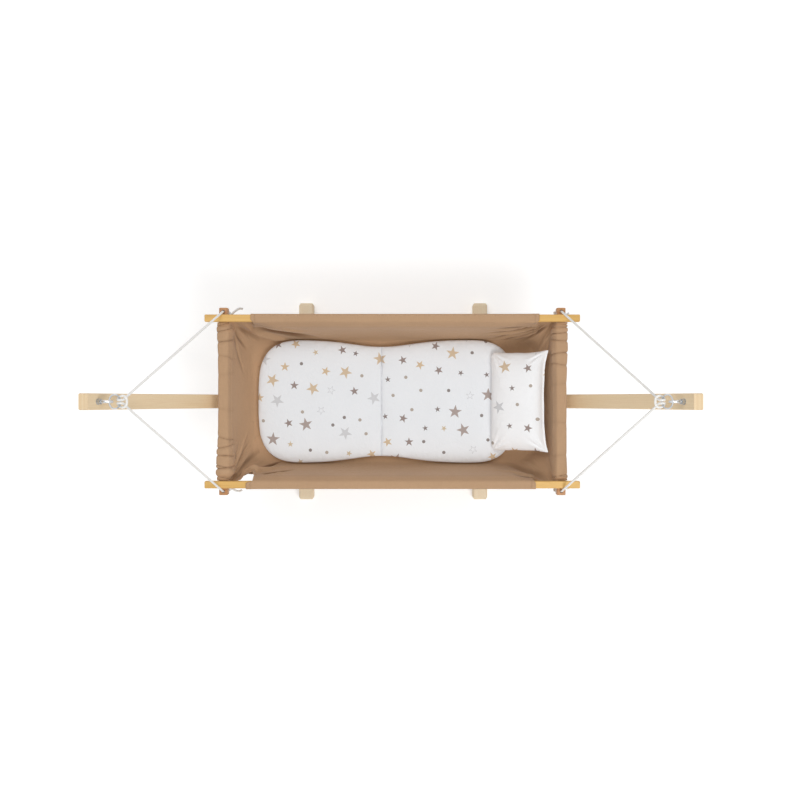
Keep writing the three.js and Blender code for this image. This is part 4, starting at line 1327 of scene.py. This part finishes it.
def weaveGroup():  # plain weave with threads of the given width, and slubs where they are thicker
    tree, given, result = newGroup(
        "plain weave", {"Place": "Vector", "Thread": "Float", "Slubs": "Float"},
        {"Height": "Float", "Shade": "Float"},
    )
    place = given["Place"]
    x, y, _ = split(place)
    drift = (noiseAt(place, 0.012, 2) - 0.5) * 1.2
    u, v = (along / given["Thread"] + drift for along in (x, y))
    over, under = (abs(calc("SINE", across * math.pi)) for across in (u, v))
    checks = shader(tree, "ShaderNodeTexChecker", {
        "Vector": combine(u, v, 0.5), "Scale": 1.0, "Color1": (1, 1, 1, 1), "Color2": (0, 0, 0, 1),
    })["Fac"]
    threads = (over - under) * checks + under
    slubs = noiseAt(place, (0.02, 0.0012, 0.02), 2, 0.6) + noiseAt(place, (0.0012, 0.02, 0.02), 2, 0.6)
    slubs = (slubs - 1.0) * given["Slubs"]
    plug(result, {"Height": slubs + threads, "Shade": slubs + (threads - 0.6) * 0.25})
    return tree


def creaseGroup():  # soft creases that sewn cotton keeps
    tree, given, result = newGroup("creases", {"Place": "Vector", "Size": "Float"}, {"Height": "Float"})
    scaled = shader(tree, "ShaderNodeVectorMath", {
        "Vector": given["Place"], "Scale": 1.0 / given["Size"],
    }, operation="SCALE")["Vector"]
    large, small = (
        ramp(abs(noiseAt(scaled, size, 2, 0.5, 1.2) - 0.5), 0.09, 0.0)
        for size in (1.0, (1 / 2.3, 1 / 1.4, 1 / 2.1))
    )
    plug(result, {"Height": large + small * 0.45})
    return tree


def starGroup():  # how far inside a five-pointed star a place lies, below 0 outside
    tree, given, result = newGroup(
        "star", {"Place": "Vector", "Radius": "Float", "Turn": "Float"}, {"Edge": "Float"},
    )
    x, y, _ = split(given["Place"])
    halfPoint = math.pi / 5
    innerShare = 0.39  # of the radius, at the notches
    folded = calc("PINGPONG", calc("ARCTAN2", x, y) + given["Turn"], halfPoint)
    radius = vectorCalc("LENGTH", combine(x, y))
    alongTip, aside = radius * calc("COSINE", folded), radius * calc("SINE", folded)
    normal = Vector((innerShare * math.sin(halfPoint), 1 - innerShare * math.cos(halfPoint))).normalized()
    plug(result, {"Edge": (given["Radius"] - alongTip) * normal.x - aside * normal.y})
    return tree


woodGrain = woodGrainGroup()
bowPlace = bowPlaceGroup()
plainWeave = weaveGroup()
creases = creaseGroup()
star = starGroup()


# Wood finishes

varnish = {"Coat Weight": 0.12, "Coat Roughness": 0.35, "IOR": 1.45}
grainBump = {"strength": 0.25, "distance": 0.0002}
wood = {
    "bow": {"Light": linear(246, 223, 186), "Dark": linear(231, 198, 152), "Figure": 0.22, "Flecks": 0.35},
    "foot": {"Light": linear(251, 232, 200), "Dark": linear(241, 213, 171), "Figure": 0.22, "Flecks": 0.3},
    "rail": {"Light": linear(229, 185, 108), "Dark": linear(203, 151, 78), "Figure": 0.3, "Flecks": 0.2},
    "bar": {"Light": linear(198, 147, 100), "Dark": linear(168, 112, 70), "Figure": 0.35, "Flecks": 0.3},
}
lamination = {
    "layer": 0.0031,
    "tint": 0.45,
    "shift": (0.7, 0.3),  # of the grain from layer to layer
    "glue": linear(150, 112, 74),
    "glueShare": 0.45,
    "glueFrom": 0.44,  # of a layer, from its middle
    "within": (0.0008, 0.0014),  # depth below the bow's faces at which the glue starts to show
}


def woodMaterial(name, values, along):
    material, tree, principled = newMaterial(name, varnish)
    place = objectPlace(tree)
    if along == "Y":
        x, y, z = split(place)
        place = combine(y, x, z)
    grain = useGroup(woodGrain, {"Place": place, **values})
    plug(principled, {
        "Base Color": grain["Colour"], "Roughness": grain["Roughness"],
        "Normal": bumpNormal(grain["Height"], **grainBump),
    })
    return material


def bowMaterial():  # each layer has its own tint and grain, with a line of glue between them
    material, tree, principled = newMaterial("laminated beech", varnish)
    bent = useGroup(bowPlace, {"Place": objectPlace(tree)})
    depth, layer = bent["Depth"], bent["Depth"] / lamination["layer"]
    tint = shader(tree, "ShaderNodeTexWhiteNoise", {"W": math.floor(layer)}, noise_dimensions="1D")["Value"]
    shifted = vectorCalc("ADD", bent["Bent Place"], combine(*(tint * shift for shift in lamination["shift"])))
    grain = useGroup(woodGrain, {"Place": shifted, **wood["bow"]})
    toned = mixColour(tint * lamination["tint"], grain["Colour"], wood["bow"]["Dark"])
    low, high = lamination["within"]
    inside = ramp(depth, low, high) * ramp(depth, bow["thickness"] - low, bow["thickness"] - high)
    line = ramp(abs(calc("FRACT", layer) - 0.5), lamination["glueFrom"], 0.5)
    glue = line * inside * lamination["glueShare"]
    plug(principled, {
        "Base Color": mixColour(glue, toned, lamination["glue"]), "Roughness": grain["Roughness"],
        "Normal": bumpNormal(grain["Height"] - glue, **grainBump),
    })
    return material


bowWood = bowMaterial()
footWood = woodMaterial("pale beech", wood["foot"], "Y")
railWood = woodMaterial("golden pine", wood["rail"], "X")
barWood = woodMaterial("plain alder", wood["bar"], "Y")


# Metal finishes

metal = {
    "light": linear(205, 207, 209),
    "dark": linear(160, 164, 170),
    "roughness": (0.22, 0.38),
    "threadPitch": 0.00125,
    "threadRod": 0.0042,  # no thread farther than this from the rod's middle
}


def metalMaterial(name, rod=None):  # rod is a point on a threaded rod's middle line, and its direction
    material, tree, principled = newMaterial(name, {"Metallic": 1.0})
    place = objectPlace(tree)
    cloud = noiseAt(place, 0.006, 3)
    height = noiseAt(place, 0.0006, 2) * 0.12
    if rod is None:
        normal = bumpNormal(height, 0.3, 0.0001)
    else:
        away = vectorCalc("SUBTRACT", place, rod[0])
        along = vectorCalc("DOT_PRODUCT", away, rod[1])
        across = vectorCalc("DOT_PRODUCT", away, away) - along * along
        tooth = calc("PINGPONG", along / metal["threadPitch"], 0.5) * (across < metal["threadRod"] ** 2)
        normal = bumpNormal(tooth * 2.0 + height, 0.8, 0.0007)
    smoothest, roughest = metal["roughness"]
    plug(principled, {
        "Base Color": mixColour(cloud * 0.5, metal["light"], metal["dark"]),
        "Roughness": cloud * (roughest - smoothest) + smoothest,
        "Normal": normal,
    })
    return material


zinc = metalMaterial("zinc plate")
threadedZinc = {}
for side, turn in (("right", 1), ("left", -1)):
    rod = [(turn * v.x, 0.0, v.z) for v in (eye["seat"], eye["normal"])]
    threadedZinc[side] = metalMaterial(f"threaded zinc {side}", rod)


# Rope, cloth and print finishes

def ropeMaterial():
    material, tree, principled = newMaterial("white cord", {
        "Roughness": 0.85, "Sheen Weight": 0.25, "Sheen Roughness": 0.5,
    })
    along, around, _ = split(meshPlace(tree))
    turns = along * (2 / rope["braid"]["pitch"])
    strands = (around * rope["braid"]["strands"] + turns * way for way in (1.0, -1.0))
    top = calc("MAXIMUM", *(calc("COSINE", strand * (2 * math.pi)) for strand in strands))
    fibres = noiseAt(combine(along, around * rope["girth"]), (0.003, 0.0004, 1.0), 3)
    # the grooves between the strands are a little darker: painted shade
    plug(principled, {
        "Base Color": mixColour(ramp(top, 0.0, 0.75), linear(238, 235, 229), linear(254, 253, 251)),
        "Normal": bumpNormal(fibres * 0.5 + top, 0.4, 0.0004),
    })
    return material


def wovenNormal(place, weave, fine, creaseSize, wide):  # fine and wide are strengths and distances
    crease = useGroup(creases, {"Place": place, "Size": creaseSize})
    return bumpNormal(crease["Height"], *wide, bumpNormal(weave["Height"], *fine))


cloth = {
    "body": linear(189, 154, 121),
    "stitch": linear(202, 168, 134),
    "lightest": 1.1,
    "darkest": 0.74,
    # how much darker the cloth is where it gets painted shade in creases and along hems
    "paintedShadeTint": (0.40, 0.34, 0.29),
    "thread": 0.0007,
    "creaseSize": 0.075,
}


def clothMaterial():
    material, tree, principled = newMaterial("brown cotton", {
        "Roughness": 0.9, "Sheen Weight": 0.2, "Sheen Roughness": 0.5, "Specular IOR Level": 0.25,
    })
    place = meshPlace(tree)
    weave = useGroup(plainWeave, {"Place": place, "Thread": cloth["thread"], "Slubs": 0.6})
    share = noiseAt(place, 0.14, 3, 0.6) * 0.5 - 0.05 + weave["Shade"] * 0.6
    base = mixColour(share, tinted(cloth["body"], cloth["lightest"]), tinted(cloth["body"], cloth["darkest"]))
    # painted shade darkens the cloth in the creases of its folds and rolls and along its hems
    hollow, _, _ = split(meshPlace(tree, "hollow"))
    plug(principled, {
        "Base Color": mixColour(hollow, base, tinted(cloth["body"], *cloth["paintedShadeTint"])),
        "Normal": wovenNormal(place, weave, (0.35, 0.0003), cloth["creaseSize"], (0.3, 0.0012)),
    })
    return material


whiteCord = ropeMaterial()
brownCotton = clothMaterial()
brownThread, _, _ = newMaterial("brown thread", {
    "Base Color": cloth["stitch"], "Roughness": 0.6, "Sheen Weight": 0.3, "Sheen Roughness": 0.4,
})

printed = {
    "cell": (0.060, 0.056),
    "turn": 0.16,
    "margin": 0.001,
    "scatter": 1.7,
    "outlineWidth": 0.0011,
    "blur": {"edge": 0.0004, "outline": 0.0003},
    "ragged": 0.0007,
    "grey": linear(203, 203, 206),
    # share of the cells up to which this mark is drawn, its radius and colour; None is an outline
    "marks": [
        (0.09, 0.0212, linear(166, 148, 140)), (0.17, 0.0208, linear(210, 184, 150)),
        (0.24, 0.0212, linear(208, 208, 210)), (0.35, 0.0150, linear(210, 182, 144)),
        (0.40, 0.0142, linear(142, 122, 114)), (0.50, 0.0098, linear(126, 110, 104)),
        (0.56, 0.0100, linear(206, 184, 150)), (0.68, 0.0140, None),
        (0.85, 0.0050, linear(128, 116, 110)), (1.00, 0.0050, linear(174, 160, 146)),
    ],
    "dotsFrom": 0.68,
    "darkest": 0.84,
    # painted shade along the mattress's cross seam, and how far it reaches
    "seamShade": linear(188, 188, 192),
    "seamWidth": (0.0006, 0.0024),  # full nearer than the first, gone from the second
    "thread": 0.00045,
    "creaseSize": 0.05,
}


def pickMark(kind):  # a mark's radius and colour, and 1 for an outline or a dot
    _, radius, tint = printed["marks"][0]
    outline = 0.0
    for (start, _, _), (_, size, paint) in zip(printed["marks"], printed["marks"][1:]):
        beyond = kind > start
        radius = (size - radius) * beyond + radius
        tint = mixColour(beyond, tint, paint or printed["grey"])
        if paint is None:
            outline = beyond
    return radius, tint, outline


def markEdge(place, grain):  # how far inside a mark a place lies, the mark's colour, and 1 for an outline
    width, height = printed["cell"]
    x, y, _ = split(place)
    across, up = math.cos(printed["turn"]), math.sin(printed["turn"])
    turnedY = x * (up / height) + y * (across / height)
    row = math.floor(turnedY)
    turnedX = x * (across / width) - y * (up / width) + row * 0.5
    column = math.floor(turnedX)

    def chance(seed):
        cell = {"Vector": combine(column, row, seed)}
        return split(shader(place.tree, "ShaderNodeTexWhiteNoise", cell)["Color"])

    asideX, asideY, kind = chance(0.0)
    turn, _, _ = chance(7.0)
    radius, tint, outline = pickMark(kind)
    isDot = kind > printed["dotsFrom"]
    room = (height / 2 - printed["margin"] - radius) * printed["scatter"]
    inside = combine(
        (calc("FRACT", turnedX) - 0.5) * width + (asideX - 0.5) * room,
        (calc("FRACT", turnedY) - 0.5) * height + (asideY - 0.5) * room,
    )
    starEdge = useGroup(star, {"Place": inside, "Radius": radius, "Turn": turn * (2 * math.pi)})["Edge"]
    dotEdge = radius - vectorCalc("LENGTH", inside)
    edge = (dotEdge - starEdge) * isDot + starEdge + (grain - 0.5) * printed["ragged"]
    return edge, tint, outline - isDot


# Stars and dots strewn over a lattice, each in a cell of its own; a sewn seam gets a line of painted shade
def printMaterial(name, ground, shift, seamAt=None):
    material, tree, principled = newMaterial(name, {
        "Roughness": 0.9, "Sheen Weight": 0.15, "Sheen Roughness": 0.5, "Specular IOR Level": 0.25,
    })
    place = meshPlace(tree)
    grain = noiseAt(place, 0.0015, 3, 0.7)
    edge, tint, outline = markEdge(vectorCalc("ADD", place, (*shift, 0.0)), grain)
    width, blur = printed["outlineWidth"], printed["blur"]
    middle = ramp(edge, width, width + blur["outline"])
    ink = ramp(edge, 0.0, blur["edge"]) * (1.0 - middle * outline) * (grain * 0.3 + 0.75)
    colour = mixColour(noiseAt(place, 0.09, 2) * 0.35, ground, tinted(ground, printed["darkest"]))
    colour = mixColour(ink, colour, tint)
    # the seam's line gets painted shade, uneven along it
    if seamAt is not None:
        uneven = noiseAt(place, 0.03, 2) * 1.3 - 0.2
        near, far = printed["seamWidth"]
        shade = ramp(abs(split(place)[0] - seamAt), far, near) * uneven
        colour = mixColour(shade, colour, printed["seamShade"])
    weave = useGroup(plainWeave, {"Place": place, "Thread": printed["thread"], "Slubs": 0.5})
    normal = wovenNormal(place, weave, (0.25, 0.0002), printed["creaseSize"], (0.3, 0.001))
    plug(principled, {"Base Color": colour, "Normal": normal})
    return material


# the mattress's ground is a little darker and bluer than the pillow's: partly its own cooler tone, partly
# painted shade for lying lower
mattressCotton = printMaterial(
    "printed cotton", linear(241, 243, 246), (0.013, 0.021), seamAt=-mattress["waistShift"],
)
pillowCotton = printMaterial("printed cotton pillow", linear(252, 252, 253), (0.031, 0.047))
print("materials made")


# Putting the pieces on their bodies

def dress(name, material):
    mesh = nodes[name].data
    mesh.materials.clear()
    mesh.materials.append(material)
    mesh.polygons.foreach_set("use_smooth", [True] * len(mesh.polygons))
    mesh.set_sharp_from_angle(angle=math.radians(28))


replacedNodes = ("sling", "mattress", "pillow", "rope_right", "rope_left")
finishes = {
    "bow_half_right": bowWood, "bow_half_left": bowWood, "foot_right": footWood, "foot_left": footWood,
    "rail_back": railWood, "rail_front": railWood, "cross_bar_right": barWood, "cross_bar_left": barWood,
    "eye_bolt_right": threadedZinc["right"], "eye_bolt_left": threadedZinc["left"],
}
for name in nodes:
    if name not in replacedNodes:
        dress(name, finishes.get(name, zinc))

for side, piece in ropePieces:
    finishWith(piece, whiteCord, "rope_cotton", "cradle", f"rope_{side}")

finishWith(slingPiece, brownCotton, "brown_cotton", "cradle", "sling")
finishWith(stitchPiece, brownThread, "brown_cotton", "cradle")

for piece in (mattressPiece, pillowPiece):
    rounder = piece.modifiers.new("rounder", "SUBSURF")
    rounder.levels = 1
    rounder.render_levels = 1
finishWith(mattressPiece, mattressCotton, "white_cotton", "mattress", "mattress")
finishWith(pillowPiece, pillowCotton, "white_cotton", "pillow", "pillow")
print("pieces dressed")


# Floor, backdrop and light

studio = {
    "floorSize": 12.0,
    "floorZ": -0.0005,
    "floorColour": (0.95, 0.95, 0.95, 1.0),
    # the floor's own light, which rises with the distance from the middle
    "floorGlow": {"near": 0.36, "far": 1.0, "from": 0.9, "to": 2.4},
    "worldLight": 0.44,
    "aim": (0, 0, 0.3),
    "lamps": {
        "key": {"place": (0.9, -1.3, 2.8), "size": 1.2, "power": 33.0},
        "fill": {"place": (-0.8, 1.3, 2.8), "size": 1.5, "power": 21.0},
    },
}


def seenByEye(tree):  # 1 for rays from the camera, also through a mirror or glass
    path = shader(tree, "ShaderNodeLightPath")
    return calc("MAXIMUM", path["Is Camera Ray"], calc(
        "MAXIMUM", path["Is Glossy Ray"], path["Is Transmission Ray"],
    ))


def floorFinish():
    material, tree, principled = newMaterial("pale floor", {
        "Base Color": studio["floorColour"], "Roughness": 0.9, "Specular IOR Level": 0.0,
    })
    glow = studio["floorGlow"]
    away = ramp(vectorCalc("LENGTH", objectPlace(tree)), glow["from"], glow["to"])
    near, far = ((glow[place],) * 3 + (1.0,) for place in ("near", "far"))
    plug(principled, {"Emission Color": mixColour(away, near, far), "Emission Strength": seenByEye(tree)})
    # from below it can be looked through
    seen = shader(tree, "ShaderNodeMixShader", {
        "Fac": shader(tree, "ShaderNodeNewGeometry")["Backfacing"],
        1: Wire(tree, principled.outputs["BSDF"]),
        2: shader(tree, "ShaderNodeBsdfTransparent")["BSDF"],
    })["Shader"]
    plug(tree.nodes["Material Output"], {"Surface": seen})
    return material


half = studio["floorSize"] / 2
floorCorners = [(x * half, y * half, studio["floorZ"]) for x, y in ((-1, -1), (1, -1), (1, 1), (-1, 1))]
floorPiece = meshPiece("floor", floorCorners, [(0, 1, 2, 3)])
floorPiece.data.materials.append(floorFinish())

world = bpy.data.worlds.new("studio")
bpy.context.scene.world = world
world.use_nodes = True
worldLight = studio["worldLight"]
plug(world.node_tree.nodes["Background"], {
    "Color": (1.0, 1.0, 1.0, 1.0), "Strength": seenByEye(world.node_tree) * (1.0 - worldLight) + worldLight,
})

for name, values in studio["lamps"].items():
    lampData = bpy.data.lights.new(name, "AREA")
    lampData.shape = "SQUARE"
    lampData.size = values["size"]
    lampData.energy = values["power"]
    lamp = bpy.data.objects.new(name, lampData)
    lamp.location = values["place"]
    lamp.rotation_mode = "QUATERNION"
    lamp.rotation_quaternion = (Vector(studio["aim"]) - lamp.location).to_track_quat("-Z", "Y")
    bpy.context.scene.collection.objects.link(lamp)
print("studio made")
